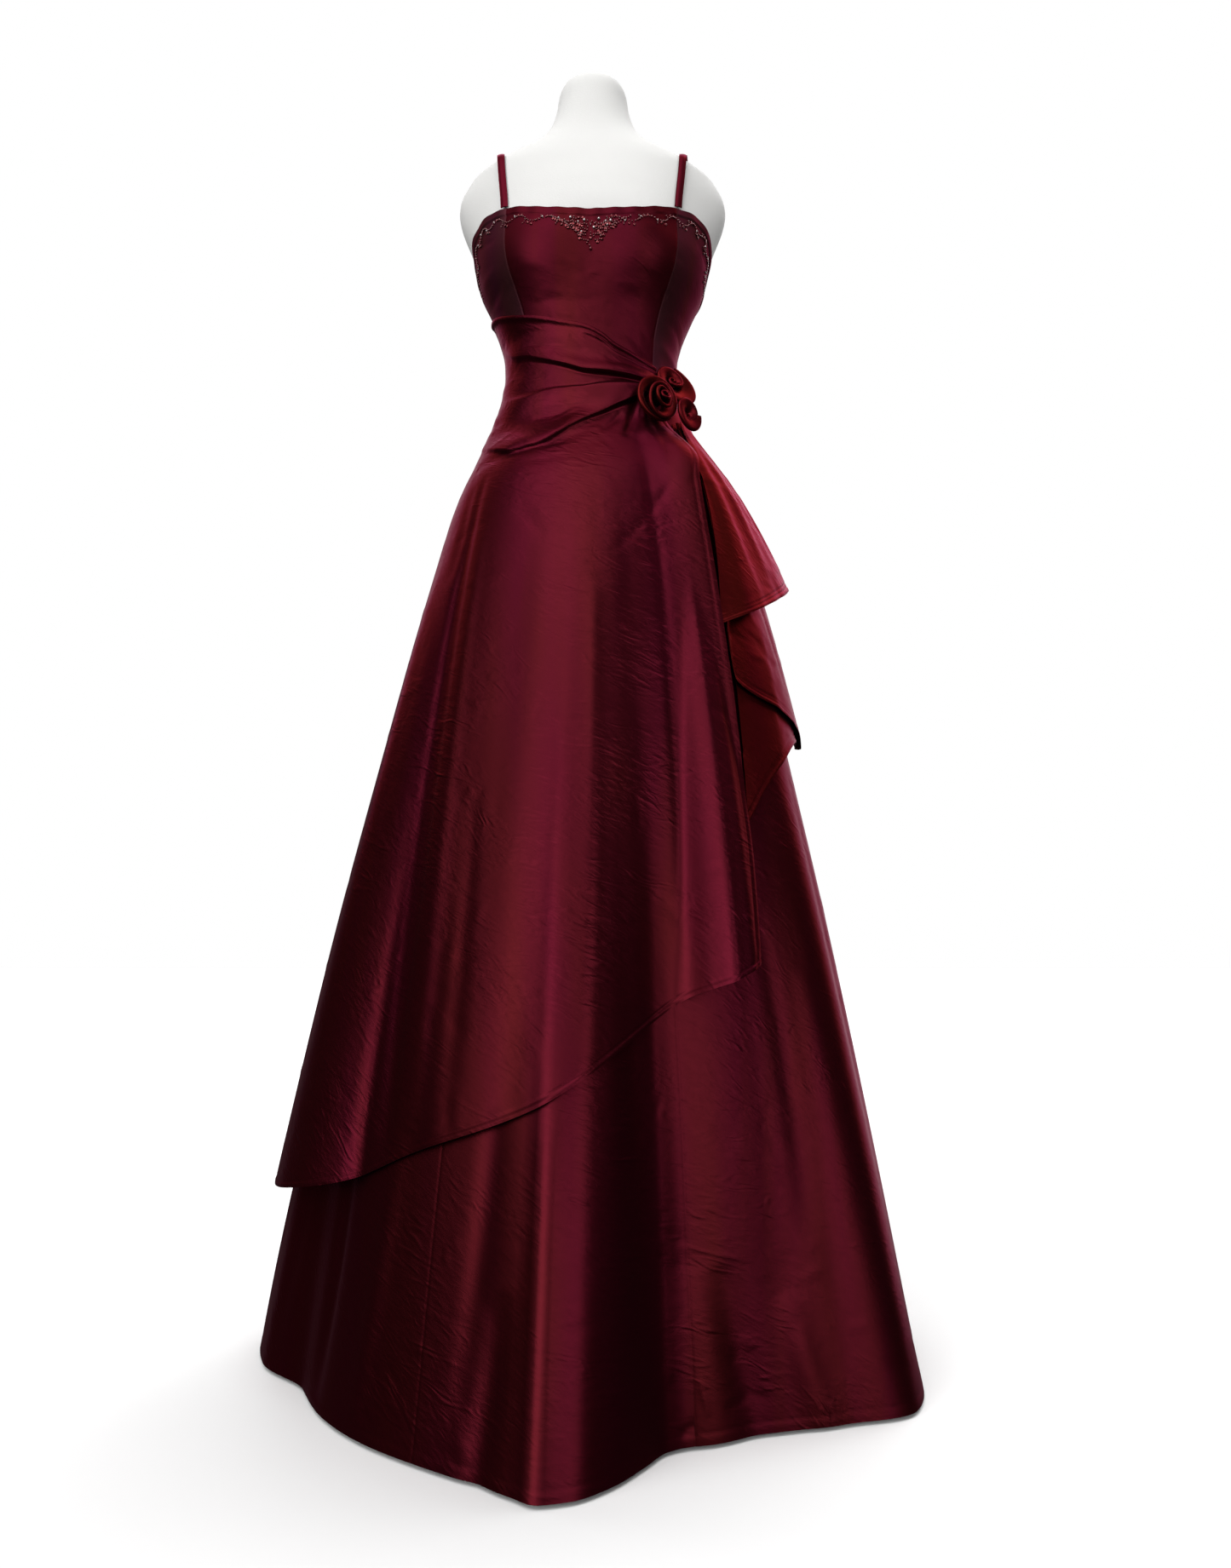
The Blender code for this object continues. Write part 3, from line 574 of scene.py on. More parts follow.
def skirt_radius(angle, z):
    share = np.maximum(0.0, (SKIRT_FOLD_TOP_Z - z) / SKIRT_FOLD_TOP_Z) ** SKIRT_FOLD_GROWTH
    flared = section_radius(SKIRT, angle, z) + share * round_curve(SKIRT_FOLDS, angle)
    return smooth_max(bodice_radius(angle, z), flared, SKIRT_BLEND)


def under_radius(angle, z):
    return np.where(z < WAIST_SEAM_Z, skirt_radius(angle, z), bodice_radius(angle, z))


def over_radius(angle, z):
    side = wrapped(angle)
    share = np.maximum(0.0, (SKIRT_FOLD_TOP_Z - z) / SKIRT_FOLD_TOP_Z) ** OVER_FOLD_GROWTH
    sections = section_radius(SKIRT, angle, np.minimum(z, SKIRT[-1][0]))
    lean = OVER_LEAN * (z - OVER_LEAN_LEVEL) * smoothstep(side / OVER_LEAN_START)
    lean = lean * smoothstep((OVER_LEAN_END - side) / OVER_LEAN_FADE)
    free = sections + share * round_curve(OVER_FOLDS, angle - lean)
    beyond = smoothstep((side - EDGE_LIFT_FROM) / (DRAPE_RIGHT - EDGE_LIFT_FROM))
    below = smoothstep((CASCADE_TOP_Z + EDGE_LIFT_ABOVE - z) / EDGE_LIFT_FADE)
    lift = EDGE_LIFT * beyond * below * (side < CASCADE_TOP_ANGLE)
    rest = under_radius(angle, z) + curve(OVER_REST, z) + WALL
    return smooth_max(rest + lift, free, OVER_BLEND)


def top_edge_z(angle):
    return curve(TOP_EDGE, np.abs(wrapped(angle)))


def front_seam(z):
    share = (z - WAIST_SEAM_Z) / (TOP_EDGE[0][1] - WAIST_SEAM_Z)
    return FRONT_SEAM_WAIST + (FRONT_SEAM_TOP - FRONT_SEAM_WAIST) * share


def fold(distance, above, below):
    """A crest, 1 high, with its own roundness above and below."""
    return np.where(distance > 0, bump(distance, above), bump(distance, below))


def crease_relief(angle, z, radius, creases):
    """Height of soft ridges and troughs that run between two places each and fade at both ends."""
    relief = np.zeros_like(radius)
    for from_angle, from_z, to_angle, to_z, width, height, bow in creases:
        here = np.abs(z - (from_z + to_z) / 2) < abs(to_z - from_z) / 2 + 0.03
        if not here.any():
            continue
        a, h, r = angle[here], z[here], radius[here]
        scale = math.radians(1) * float(np.median(r))
        dx, dz = (to_angle - from_angle) * scale, to_z - from_z
        length = math.hypot(dx, dz)
        x, y = (a - from_angle) * scale, h - from_z
        along = np.clip((x * dx + y * dz) / length**2, 0.0, 1.0)
        across = (y * dx - x * dz) / length - bow * MM * 4 * along * (1 - along)
        past = np.hypot(x - along * dx, y - along * dz) - np.abs((y * dx - x * dz) / length)
        fade = np.sin(np.pi * along) ** 0.6 * (past < 0.01)
        relief[here] += height * MM * fade * bump(across, width * MM)
    return relief


def crinkles(seed, count, angles, heights, size=1.0, slant=0.4):
    """Short creases of many lengths, mostly level, some slanting, as crushed taffeta has."""
    dice = random.Random(seed)
    made = []
    for _ in range(count):
        angle, z = dice.uniform(*angles), dice.uniform(*heights)
        length = dice.uniform(0.012, 0.055) * size
        tilt = dice.gauss(-0.35, slant)
        reach = math.degrees(length * math.cos(tilt) / (0.10 + 0.25 * max(0.0, 1.1 - z)))
        height = dice.choice((-1, -1, 1)) * dice.uniform(0.15, 0.55)
        width = dice.uniform(3.0, 5.5)
        rise = length * math.sin(tilt)
        made.append((angle, z, angle + reach, z + rise, width, height, dice.uniform(-3, 3)))
    return tuple(made)


def seam_columns(u, share=0.8):
    """Columns from 0 to 1 that lie closer together near both seams."""
    return u - share * np.sin(2 * np.pi * u) / (2 * np.pi)


def seam_dip(u, width, margin=0.0016, depth=0.0003):
    """How far a panel turns in at the seams on its two sides. u runs from 0 to 1 over a width in metres."""
    near = np.minimum(u, 1 - u) * width
    return -depth * bump(near, margin)


def hem_relief(distance, depth=0.0006, stitch=0.006, second=None):
    """A narrow turned hem: a soft roll at the edge and a stitched line above it."""
    relief = 0.8 * depth * bump(distance - stitch * 0.5, stitch * 0.35)
    relief -= depth * bump(distance - stitch, 0.0011)
    if second:
        relief -= depth * bump(distance - second, 0.0011)
    return relief


def hem_rows(v, sharp=1.5):
    """Rows from 0 to 1 that lie closer together near the hem, at 0."""
    return v**sharp


def joined(bm, name):
    mesh = bpy.data.meshes.new(name)
    bm.to_mesh(mesh)
    bm.free()
    obj = bpy.data.objects.new(name, mesh)
    bpy.context.scene.collection.objects.link(obj)
    mesh.shade_smooth()
    return obj


def placed(obj, finish, nodes=()):
    obj.data.materials.clear()
    obj.data.materials.append(finish)
    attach(obj, "root")
    if nodes:
        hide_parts(*nodes)
    return obj


def cloth_map(points):
    """Where each point lies on the cloth, in metres: round the body and upwards."""
    middle = points.mean(axis=0)
    facing = math.degrees(math.atan2(middle[0], -middle[1]))
    angle = wrapped(np.degrees(np.arctan2(points[:, 0], -points[:, 1])) - facing) + facing
    return np.radians(angle) * np.hypot(points[:, 0], points[:, 1]), points[:, 2]


def strip_map(u, v, surface):
    """Where each point lies on a narrow strip, in metres: across and along."""
    line, half = np.linspace(0, 1, 60), np.full(60, 0.5)
    across = np.linalg.norm(np.diff(surface(line, half), axis=0), axis=1).sum()
    along = np.linalg.norm(np.diff(surface(half, line), axis=0), axis=1).sum()
    return u * across, v * along


def cloth_sheet(name, columns, rows, surface, thickness=0.8 * MM, strip=False):
    """A cloth piece on a surface given for u across and v upwards. Its UV map is in metres of cloth."""
    bm = bmesh.new()
    bmesh.ops.create_grid(bm, x_segments=columns, y_segments=rows, size=0.5)
    for edge in bm.edges:
        edge.smooth = not edge.is_boundary
    obj = joined(bm, name)
    mesh = obj.data
    flat = np.empty(len(mesh.vertices) * 3)
    mesh.vertices.foreach_get("co", flat)
    u, v = flat.reshape(-1, 3)[:, 0] + 0.5, flat.reshape(-1, 3)[:, 1] + 0.5
    points = surface(u, v)
    mesh.vertices.foreach_set("co", points.ravel())
    corners = np.empty(len(mesh.loops), int)
    mesh.loops.foreach_get("vertex_index", corners)
    layer = mesh.uv_layers.new(name="cloth")
    place = strip_map(u, v, surface) if strip else cloth_map(points)
    layer.data.foreach_set("uv", np.stack(place, axis=-1)[corners].ravel())
    mesh.update()
    shell = obj.modifiers.new("Cloth thickness", "SOLIDIFY")
    shell.thickness = thickness
    shell.offset = -1
    return obj


class Shader:
    """Short ways to add and join the nodes of one material."""

    def __init__(self, name):
        self.material = bpy.data.materials.new(name)
        self.material.use_nodes = True
        self.nodes = self.material.node_tree.nodes
        self.links = self.material.node_tree.links
        self.surface = self.nodes["Principled BSDF"]

    def node(self, kind, inputs=None, **settings):
        made = self.nodes.new(kind)
        for key, value in settings.items():
            setattr(made, key, value)
        for key, value in (inputs or {}).items():
            if isinstance(value, bpy.types.NodeSocket):
                self.links.new(value, made.inputs[key])
            else:
                made.inputs[key].default_value = value
        return made

    def math(self, operation, *values):
        return self.node("ShaderNodeMath", dict(enumerate(values)), operation=operation).outputs[0]

    def noise(self, vector, scale, detail=2.0, distortion=0.0, kind="FBM"):
        inputs = {"Vector": vector, "Scale": scale, "Detail": detail, "Distortion": distortion}
        return self.node("ShaderNodeTexNoise", inputs, noise_type=kind, normalize=True).outputs["Fac"]

    def stretched(self, vector, scale, turn=0.0):
        """Coordinates for a pattern with this many repeats a metre each way, turned anticlockwise."""
        size = [1 / repeats for repeats in scale]
        inputs = {"Vector": vector, "Rotation": (0, 0, math.radians(turn)), "Scale": size}
        return self.node("ShaderNodeMapping", inputs, vector_type="TEXTURE").outputs[0]

    def ranged(self, value, low, high, to_low=0.0, to_high=1.0):
        inputs = {"Value": value, "From Min": low, "From Max": high, "To Min": to_low, "To Max": to_high}
        return self.node("ShaderNodeMapRange", inputs).outputs[0]

    def place(self):
        return self.node("ShaderNodeTexCoord").outputs["Object"]

    def mixed(self, share, a, b):
        inputs = {"Factor": share}
        made = self.node("ShaderNodeMix", inputs, data_type="RGBA")
        for socket, value in ((made.inputs[6], a), (made.inputs[7], b)):
            if isinstance(value, bpy.types.NodeSocket):
                self.links.new(value, socket)
            else:
                socket.default_value = value
        return made.outputs[2]

    def constants(self, **values):
        for key, value in values.items():
            self.surface.inputs[key.replace("_", " ")].default_value = value

    def relief(self, height, distance, strength=1.0):
        made = self.node("ShaderNodeBump", {"Height": height, "Distance": distance, "Strength": strength})
        self.links.new(made.outputs[0], self.surface.inputs["Normal"])

    def colour(self, socket):
        self.links.new(socket, self.surface.inputs["Base Color"])

    def roughness(self, socket):
        self.links.new(socket, self.surface.inputs["Roughness"])


# Patterns of the taffeta: repeats a metre across and along the cloth, then the turn in degrees
LEVEL_CREASES = ((24, 78, 1), -18)
SLANTING_CREASES = ((30, 84, 1), -38)
FINE_CREASES = ((80, 200, 1), -24)
CRUSHED_PLACES = ((6, 8, 1), 15)
CREASE_CLUSTERS = ((5, 7, 1), -20)
SLUBS = ((90, 1500, 1), 0)
# Painted sheen: broad bands where the cloth turns browner, standing in for the colour that shot taffeta takes
# at a slant
PAINTED_SHEEN_BANDS = ((14, 1.6, 1), 0)


def darker(colour, share):
    return (colour[0] * share, colour[1] * share, colour[2] * share, 1.0)


def taffeta(name, settings, colour, crinkle=1.0, softer=0.0):
    """Shot taffeta: dark red threads with a soft metallic gloss, crushed here and there into fine creases."""
    look = Shader(name)
    cloth = look.node("ShaderNodeUVMap", uv_map="cloth").outputs[0]
    level = look.noise(look.stretched(cloth, *LEVEL_CREASES), 1.0, 3.0, 1.6, "RIDGED_MULTIFRACTAL")
    slanting = look.noise(look.stretched(cloth, *SLANTING_CREASES), 1.0, 2.0, 1.4, "RIDGED_MULTIFRACTAL")
    where = look.noise(look.stretched(cloth, *CRUSHED_PLACES), 1.0, 1.0, 0.6)
    crushed = look.ranged(where, 0.42, 0.62)
    both = look.node("ShaderNodeMix", {"Factor": crushed, "A": level, "B": slanting}).outputs[0]
    clusters = look.noise(look.stretched(cloth, *CREASE_CLUSTERS), 1.0, 2.0, 1.0)
    busy = look.ranged(clusters, 0.38, 0.62, 0.15)
    fine_creases = look.noise(look.stretched(cloth, *FINE_CREASES), 1.0, 3.0, 1.0)
    slub = look.noise(look.stretched(cloth, *SLUBS), 1.0, 2.0)
    height = look.math("ADD", both, look.math("MULTIPLY", fine_creases, 0.45))
    height = look.math("MULTIPLY", height, busy)
    height = look.math("ADD", height, look.math("MULTIPLY", slub, 0.03))
    look.relief(height, settings.crinkle_depth * crinkle)
    # Painted sheen: random bands mix the red with a browner red, standing in for the shot cloth's change of
    # colour at a slant
    falls = look.noise(look.stretched(cloth, *PAINTED_SHEEN_BANDS), 1.0, 2.0, 0.5)
    share = look.ranged(falls, 0.36, 0.64)
    warp, weft = colour[:3], (colour[0], colour[1] * settings.shift, colour[2] / settings.shift)
    threads = look.mixed(share, darker(warp, 1.0), darker(weft, 1.0))
    look.colour(look.mixed(look.math("MULTIPLY", slub, 0.3), threads, darker(colour, 0.7)))
    look.roughness(look.math("MULTIPLY_ADD", fine_creases, 0.10, settings.roughness - 0.05 + softer))
    look.constants(
        Metallic=settings.metallic,
        Specular_IOR_Level=0.3,
        Specular_Tint=(*settings.shot_colour, 1.0),
        Sheen_Weight=settings.sheen,
        Sheen_Roughness=0.35,
        Sheen_Tint=(*settings.shot_colour, 1.0),
    )
    return look.material


def form_cover(settings):
    """White stretch cover over the form: matt, with a fine knit."""
    look = Shader("form_cover")
    place = look.place()
    knit = look.noise(look.stretched(place, (700, 700, 1100)), 1.0, 1.0)
    soft = look.noise(place, 9.0, 2.0)
    look.relief(look.math("ADD", look.math("MULTIPLY", knit, 0.4), look.math("MULTIPLY", soft, 1.2)), 0.0006)
    warm = tuple(settings.cover_colour)
    look.colour(look.mixed(soft, darker(warm, 0.95), darker(warm, 1.02)))
    look.constants(Roughness=0.85, Sheen_Weight=0.2, Sheen_Roughness=0.5)
    return look.material


def stand_steel(settings):
    """Satin steel with fine brushed lines."""
    look = Shader("stand_steel")
    place = look.place()
    lines = look.noise(look.stretched(place, (60, 60, 2400)), 1.0, 3.0)
    steel = tuple(settings.steel_colour)
    look.colour(look.mixed(lines, darker(steel, 0.85), darker(steel, 1.05)))
    look.roughness(look.math("MULTIPLY_ADD", lines, 0.18, 0.22))
    look.relief(lines, 0.0001)
    look.constants(Metallic=1.0)
    return look.material


def bead_glass(name, colour, roughness, metallic):
    look = Shader(name)
    place = look.place()
    glint = look.noise(place, 260.0, 1.0)
    look.colour(look.mixed(glint, darker(colour, 0.5), darker(colour, 1.4)))
    look.constants(Roughness=roughness, Metallic=metallic, Coat_Weight=0.6, Coat_Roughness=0.08)
    return look.material


def floor_paint():
    look = Shader("studio_floor")
    place = look.place()
    look.colour(look.mixed(look.noise(place, 1.5), (0.74, 0.74, 0.74, 1), (0.78, 0.78, 0.78, 1)))
    look.constants(Roughness=0.9, Specular_IOR_Level=0.1)
    return look.material


class ClothSettings(PropertyGroup):
    colour: FloatVectorProperty(
        name="Taffeta",
        description="Red of the gown's threads",
        subtype="COLOR",
        default=(0.054, 0.0030, 0.0088),
    )
    # Painted sheen: the bodice's side panels get a greyer, lighter red than the front, standing in for the
    # grey sheen they catch where they turn away
    side_painted_sheen_colour: FloatVectorProperty(
        name="Sides",
        description="Cross-cut side panels, greyer",
        subtype="COLOR",
        default=(0.060, 0.0135, 0.0240),
    )
    # Painted light: the cascade gets a brighter red than the rest of the same cloth, standing in for the
    # light that it catches from the right and behind
    cascade_painted_light_colour: FloatVectorProperty(
        name="Cascade",
        description="Brighter red of the bias folds",
        subtype="COLOR",
        default=(0.070, 0.0033, 0.0050),
    )
    # Painted light: the roses get a lighter red than the gown's, which lifts the shade inside their rolled
    # folds
    rose_painted_light_colour: FloatVectorProperty(
        name="Roses",
        description="Darker red of the rolled roses",
        subtype="COLOR",
        default=(0.078, 0.0040, 0.0070),
    )
    shot_colour: FloatVectorProperty(
        name="Shot", description="Cross threads, seen at a slant", subtype="COLOR", default=(0.75, 0.36, 0.45)
    )
    # Painted sheen: how much browner the painted sheen bands are; they lie at random along the cloth, not
    # where it turns
    shift: FloatProperty(
        name="Hue shift",
        description="How much browner the cloth looks where it turns",
        default=1.5,
        min=1,
        max=3,
    )
    metallic: FloatProperty(
        name="Gloss",
        description="Metallic share of the gloss",
        default=0.94,
        min=0,
        max=1,
    )
    roughness: FloatProperty(
        name="Softness",
        description="Roughness of the gloss",
        default=0.37,
        min=0,
        max=1,
    )
    sheen: FloatProperty(name="Sheen", description="Soft light at the edges", default=0.03, min=0, max=1)
    crinkle_depth: FloatProperty(
        name="Crinkles", description="Depth of the fine creases", default=0.0010, unit="LENGTH"
    )


class BeadSettings(PropertyGroup):
    red: FloatVectorProperty(
        name="Beads",
        description="Garnet glass",
        subtype="COLOR",
        default=(0.12, 0.0025, 0.007),
    )
    crystal: FloatVectorProperty(
        name="Crystals", description="Clear stones", subtype="COLOR", default=(0.46, 0.40, 0.40)
    )
    radius: FloatProperty(
        name="Bead radius",
        description="Radius of a small bead",
        default=0.00108,
        unit="LENGTH",
    )
    spacing: FloatProperty(name="Spacing", description="From bead to bead", default=0.0027, unit="LENGTH")
    wave: FloatProperty(
        name="Wave",
        description="Length of one bend of the vine",
        default=0.036,
        unit="LENGTH",
    )


class FormSettings(PropertyGroup):
    cover_colour: FloatVectorProperty(
        name="Cover", description="White cover of the form", subtype="COLOR", default=(0.64, 0.636, 0.622)
    )
    steel_colour: FloatVectorProperty(
        name="Steel", description="Stand's steel", subtype="COLOR", default=(0.55, 0.55, 0.57)
    )
    sides: IntProperty(name="Sides", description="Faces round the form", default=96, min=24)


class StudioSettings(PropertyGroup):
    key: FloatProperty(name="Key", description="Strength of the front light", default=2.35, min=0)
    fill: FloatProperty(
        name="Fill",
        description="Strength of the light from the roses' side",
        default=0.95,
        min=0,
    )
    low: FloatProperty(name="Low", description="Strength of the low front light", default=1.05, min=0)
    top: FloatProperty(name="Top", description="Strength of the light from above", default=1.2, min=0)
    back: FloatProperty(name="Back", description="Strength of the light from behind", default=1.6, min=0)
    sides: FloatProperty(name="Sides", description="Strength of the lights at both sides", default=0.7, min=0)
    surround: FloatProperty(name="Surround", description="Light from all round", default=0.06, min=0)
    backdrop: FloatProperty(name="Backdrop", description="Brightness behind the dress", default=1.0, min=0)
    camera_height: FloatProperty(
        name="Camera height",
        description="Above the floor",
        default=0.432,
        unit="LENGTH",
    )
    camera_distance: FloatProperty(name="Distance", description="From the pole", default=1.399, unit="LENGTH")
    camera_aside: FloatProperty(name="Aside", description="To the roses' side", default=0.029, unit="LENGTH")
    camera_pitch: FloatProperty(
        name="Pitch", description="Upward tilt", default=math.radians(8), subtype="ANGLE"
    )
    lens: FloatProperty(name="Lens", description="Focal length on 36 mm of height", default=27.4)


class DRESS_OT_form(Operator):
    """The limbless form: hips to neck, with a domed top and a flat underside."""

    bl_idname = "dress.form"
    bl_label = "Dress Form"

    def execute(self, context):
        settings = context.scene.dress_form
        low, high = FORM[0][0], FORM[-1][0]
        bm = bmesh.new()
        bmesh.ops.create_grid(bm, x_segments=settings.sides, y_segments=150, size=0.5)
        flat = np.array([vert.co for vert in bm.verts])
        angle, z = (flat[:, 0] + 0.5) * 360, low + (flat[:, 1] + 0.5) * (high - low)
        for vert, point in zip(bm.verts, polar(angle, form_radius(angle, z), z)):
            vert.co = point
        bmesh.ops.remove_doubles(bm, verts=bm.verts[:], dist=1e-5)
        underside = [e for e in bm.edges if e.is_boundary and e.verts[0].co.z < low + MM]
        bmesh.ops.contextual_create(bm, geom=underside)
        rim = [e for e in bm.edges if e.is_boundary and e.verts[0].co.z > high - MM]
        for height, share in FORM_DOME:
            grown = bmesh.ops.extrude_edge_only(bm, edges=rim)["geom"]
            rim = [item for item in grown if isinstance(item, bmesh.types.BMEdge)]
            for vert in {v for edge in rim for v in edge.verts}:
                away = Vector((vert.co.x, vert.co.y, 0)).normalized() * FORM[-1][1] * share
                vert.co = (away.x, away.y, height)
        bmesh.ops.contextual_create(bm, geom=rim)
        bmesh.ops.recalc_face_normals(bm, faces=bm.faces[:])
        obj = joined(bm, "dress_form")
        obj.data.set_sharp_from_angle(angle=math.radians(60))
        placed(obj, form_cover(settings), ["form_torso"])
        return {"FINISHED"}


class DRESS_OT_stand(Operator):
    """The round base and its pole, under the skirt."""

    bl_idname = "dress.stand"
    bl_label = "Stand"

    def execute(self, context):
        steel = stand_steel(context.scene.dress_form)
        for name, edge, segments in (("stand_base", 4 * MM, 128), ("stand_pole", 0.5 * MM, 48)):
            low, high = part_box(name)
            bm = bmesh.new()
            radius = (high.x - low.x) / 2
            bmesh.ops.create_cone(
                bm, cap_ends=True, segments=segments, radius1=radius, radius2=radius, depth=high.z - low.z
            )
            bmesh.ops.translate(bm, verts=bm.verts[:], vec=(0, 0, (low.z + high.z) / 2))
            rim = [e for e in bm.edges if all(v.co.z > high.z - MM / 10 for v in e.verts)]
            bmesh.ops.bevel(
                bm, geom=rim, offset=edge, segments=4, profile=0.5, affect="EDGES", material=-1
            )
            obj = joined(bm, f"{name}_steel")
            obj.data.set_sharp_from_angle(angle=math.radians(35))
            placed(obj, steel, [name])
        return {"FINISHED"}


BODICE_CRINKLES = crinkles(3, 170, (-175, 170), (1.09, 1.29), 0.7)


def bodice_relief(angle, z):
    radius = bodice_radius(angle, z)
    below_edge = top_edge_z(angle) - z
    band = 0.0009 * smoothstep((0.0095 - below_edge) / 0.0012)
    stitches = -0.0005 * bump(below_edge - 0.0102, 0.0010)
    wave = 0.0006 * np.sin(np.radians(angle) * 31) * bump(below_edge, 0.012)
    return band + stitches + wave + crease_relief(angle, z, radius, BODICE_CREASES + BODICE_CRINKLES)


class DRESS_OT_bodice(Operator):
    """Five bodice panels with princess seams, side seams and a centre-back seam."""

    bl_idname = "dress.bodice"
    bl_label = "Bodice"

    def execute(self, context):
        settings = context.scene.dress_cloth
        middle = taffeta("taffeta_bodice", settings, settings.colour, 0.4, 0.10)
        # The side panels' material carries painted sheen in its greyer colour
        sides = taffeta("taffeta_bodice_side", settings, settings.side_painted_sheen_colour, 0.4, 0.16)
        front, side, back = ((0.20, 0.22), 0.0410), ((0.11, 0.24), 0.0203), ((0.17, 0.17), 0.0229)
        panels = (
            ("bodice_front", lambda z: -front_seam(z), front_seam, 110, front),
            ("bodice_side_right", lambda z: -SIDE_SEAM + 0 * z, lambda z: -front_seam(z), 64, side),
            ("bodice_side_left", front_seam, lambda z: SIDE_SEAM + 0 * z, 64, side),
            ("bodice_back_right", lambda z: -180 + 0 * z, lambda z: -SIDE_SEAM + 0 * z, 70, back),
            ("bodice_back_left", lambda z: SIDE_SEAM + 0 * z, lambda z: 180 + 0 * z, 70, back),
        )
        for name, left_at, right_at, columns, (flat, area) in panels:

            def surface(u, v, left_at=left_at, right_at=right_at, width=flat[0]):
                u = seam_columns(u)
                top = TOP_EDGE[0][1]
                nominal = left_at(top + 0 * u) * (1 - u) + right_at(top + 0 * u) * u
                rows = 1 - hem_rows(1 - v, 1.4)
                low = WAIST_SEAM_Z + SEAM_GAP / 2
                z = low + rows * (top_edge_z(nominal) - low)
                angle = left_at(z) * (1 - u) + right_at(z) * u
                relief = bodice_relief(angle, z) + seam_dip(u, width)
                return polar(angle, bodice_radius(angle, z) + relief, z)

            obj = cloth_sheet(f"{name}_taffeta", columns, 96, surface)
            placed(obj, middle if name == "bodice_front" else sides, [name])
        return {"FINISHED"}


def strap_line(turn):
    """A strap's middle line on the form, at turns over the shoulder from the front."""
    rise = smoothstep((turn - STRAP_FRONT["turn"]) / (STRAP_MIDDLE_TURN - STRAP_FRONT["turn"]))
    fall = smoothstep((turn - STRAP_MIDDLE_TURN) / (STRAP_BACK["turn"] - STRAP_MIDDLE_TURN))
    front = STRAP_FRONT["x"] + (STRAP_TOP_X - STRAP_FRONT["x"]) * rise
    x = np.where(turn < STRAP_MIDDLE_TURN, front, STRAP_TOP_X + (STRAP_BACK["x"] - STRAP_TOP_X) * fall)
    a = np.radians(turn)
    near, far = np.zeros_like(turn), np.full_like(turn, 0.4)
    for _ in range(40):
        middle = (near + far) / 2
        y, z = -middle * np.cos(a), STRAP_HUB_Z + middle * np.sin(a)
        angle = np.degrees(np.arctan2(x, -y))
        inside = (np.hypot(x, y) < form_radius(angle, z)) & (z < FORM_TOP_Z)
        near, far = np.where(inside, middle, near), np.where(inside, far, middle)
    return np.stack((x, -near * np.cos(a), STRAP_HUB_Z + near * np.sin(a)), axis=-1)


class DRESS_OT_straps(Operator):
    """Two narrow turned straps over the shoulders."""

    bl_idname = "dress.straps"
    bl_label = "Straps"

    def execute(self, context):
        settings = context.scene.dress_cloth
        finish = taffeta("taffeta_strap", settings, settings.colour, 0.2)
        for name, side in (("strap_right", -1), ("strap_left", 1)):
            obj = self.strap(name, side)
            placed(obj, finish, [name])
        return {"FINISHED"}

    def strap(self, name, side):
        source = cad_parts[name].data
        points = np.array([vert.co for vert in source.vertices])
        hub_turn = np.degrees(np.arctan2(points[:, 2] - STRAP_HUB_Z, -points[:, 1]))
        hub_turn = np.where(hub_turn < -90, hub_turn + 360, hub_turn)
        first, last = hub_turn.min() + STRAP_INSET, hub_turn.max() - STRAP_INSET

        def surface(u, v):
            turn = first + (last - first) * v
            middle = strap_line(turn)
            along = strap_line(turn + 0.5) - strap_line(turn - 0.5)
            along /= np.linalg.norm(along, axis=1)[:, None]
            outward = middle * (STRAP_LEAN, 1, 1) - (0, 0, STRAP_HUB_Z)
            across = np.cross(along, outward)
            across /= np.linalg.norm(across, axis=1)[:, None]
            out = np.cross(across, along)
            share = (u - 0.5)[:, None]
            crown = 0.0006 * (1 - (2 * share) ** 2) - 0.0004 * bump(np.abs(share) - 0.36, 0.05)
            ground = STRAP_REST + WALL - 0.0005
            place = middle + across * share * STRAP_SEEN + out * (ground + crown)
            place[:, 0] *= side
            return place

        obj = cloth_sheet(f"{name}_taffeta", 12, 150, surface, 1.1 * MM, strip=True)
        if side > 0:
            bm = bmesh.new()
            bm.from_mesh(obj.data)
            bmesh.ops.reverse_faces(bm, faces=bm.faces[:])
            bm.to_mesh(obj.data)
            bm.free()
        return obj


# The vine's depth below the edge, its swing, and how near and how far from the edge its curls may lie
VINE_DEPTH = 0.0165
VINE_SWING = 0.0035
VINE_NEAREST = 0.0125
VINE_FARTHEST = 0.030


def in_vine(depth, farthest=VINE_FARTHEST):
    return min(max(depth, VINE_NEAREST), farthest)


def edge_walk():
    """The bodice's top edge as a line: arc length from the centre front, angle and height."""
    angles = np.arange(-96, 96.01, 0.25)
    heights = top_edge_z(angles)
    points = polar(angles, bodice_radius(angles, heights), heights)
    steps = np.linalg.norm(np.diff(points, axis=0), axis=1)
    arc = np.concatenate(([0.0], np.cumsum(steps)))
    return arc - np.interp(0, angles, arc), angles, heights


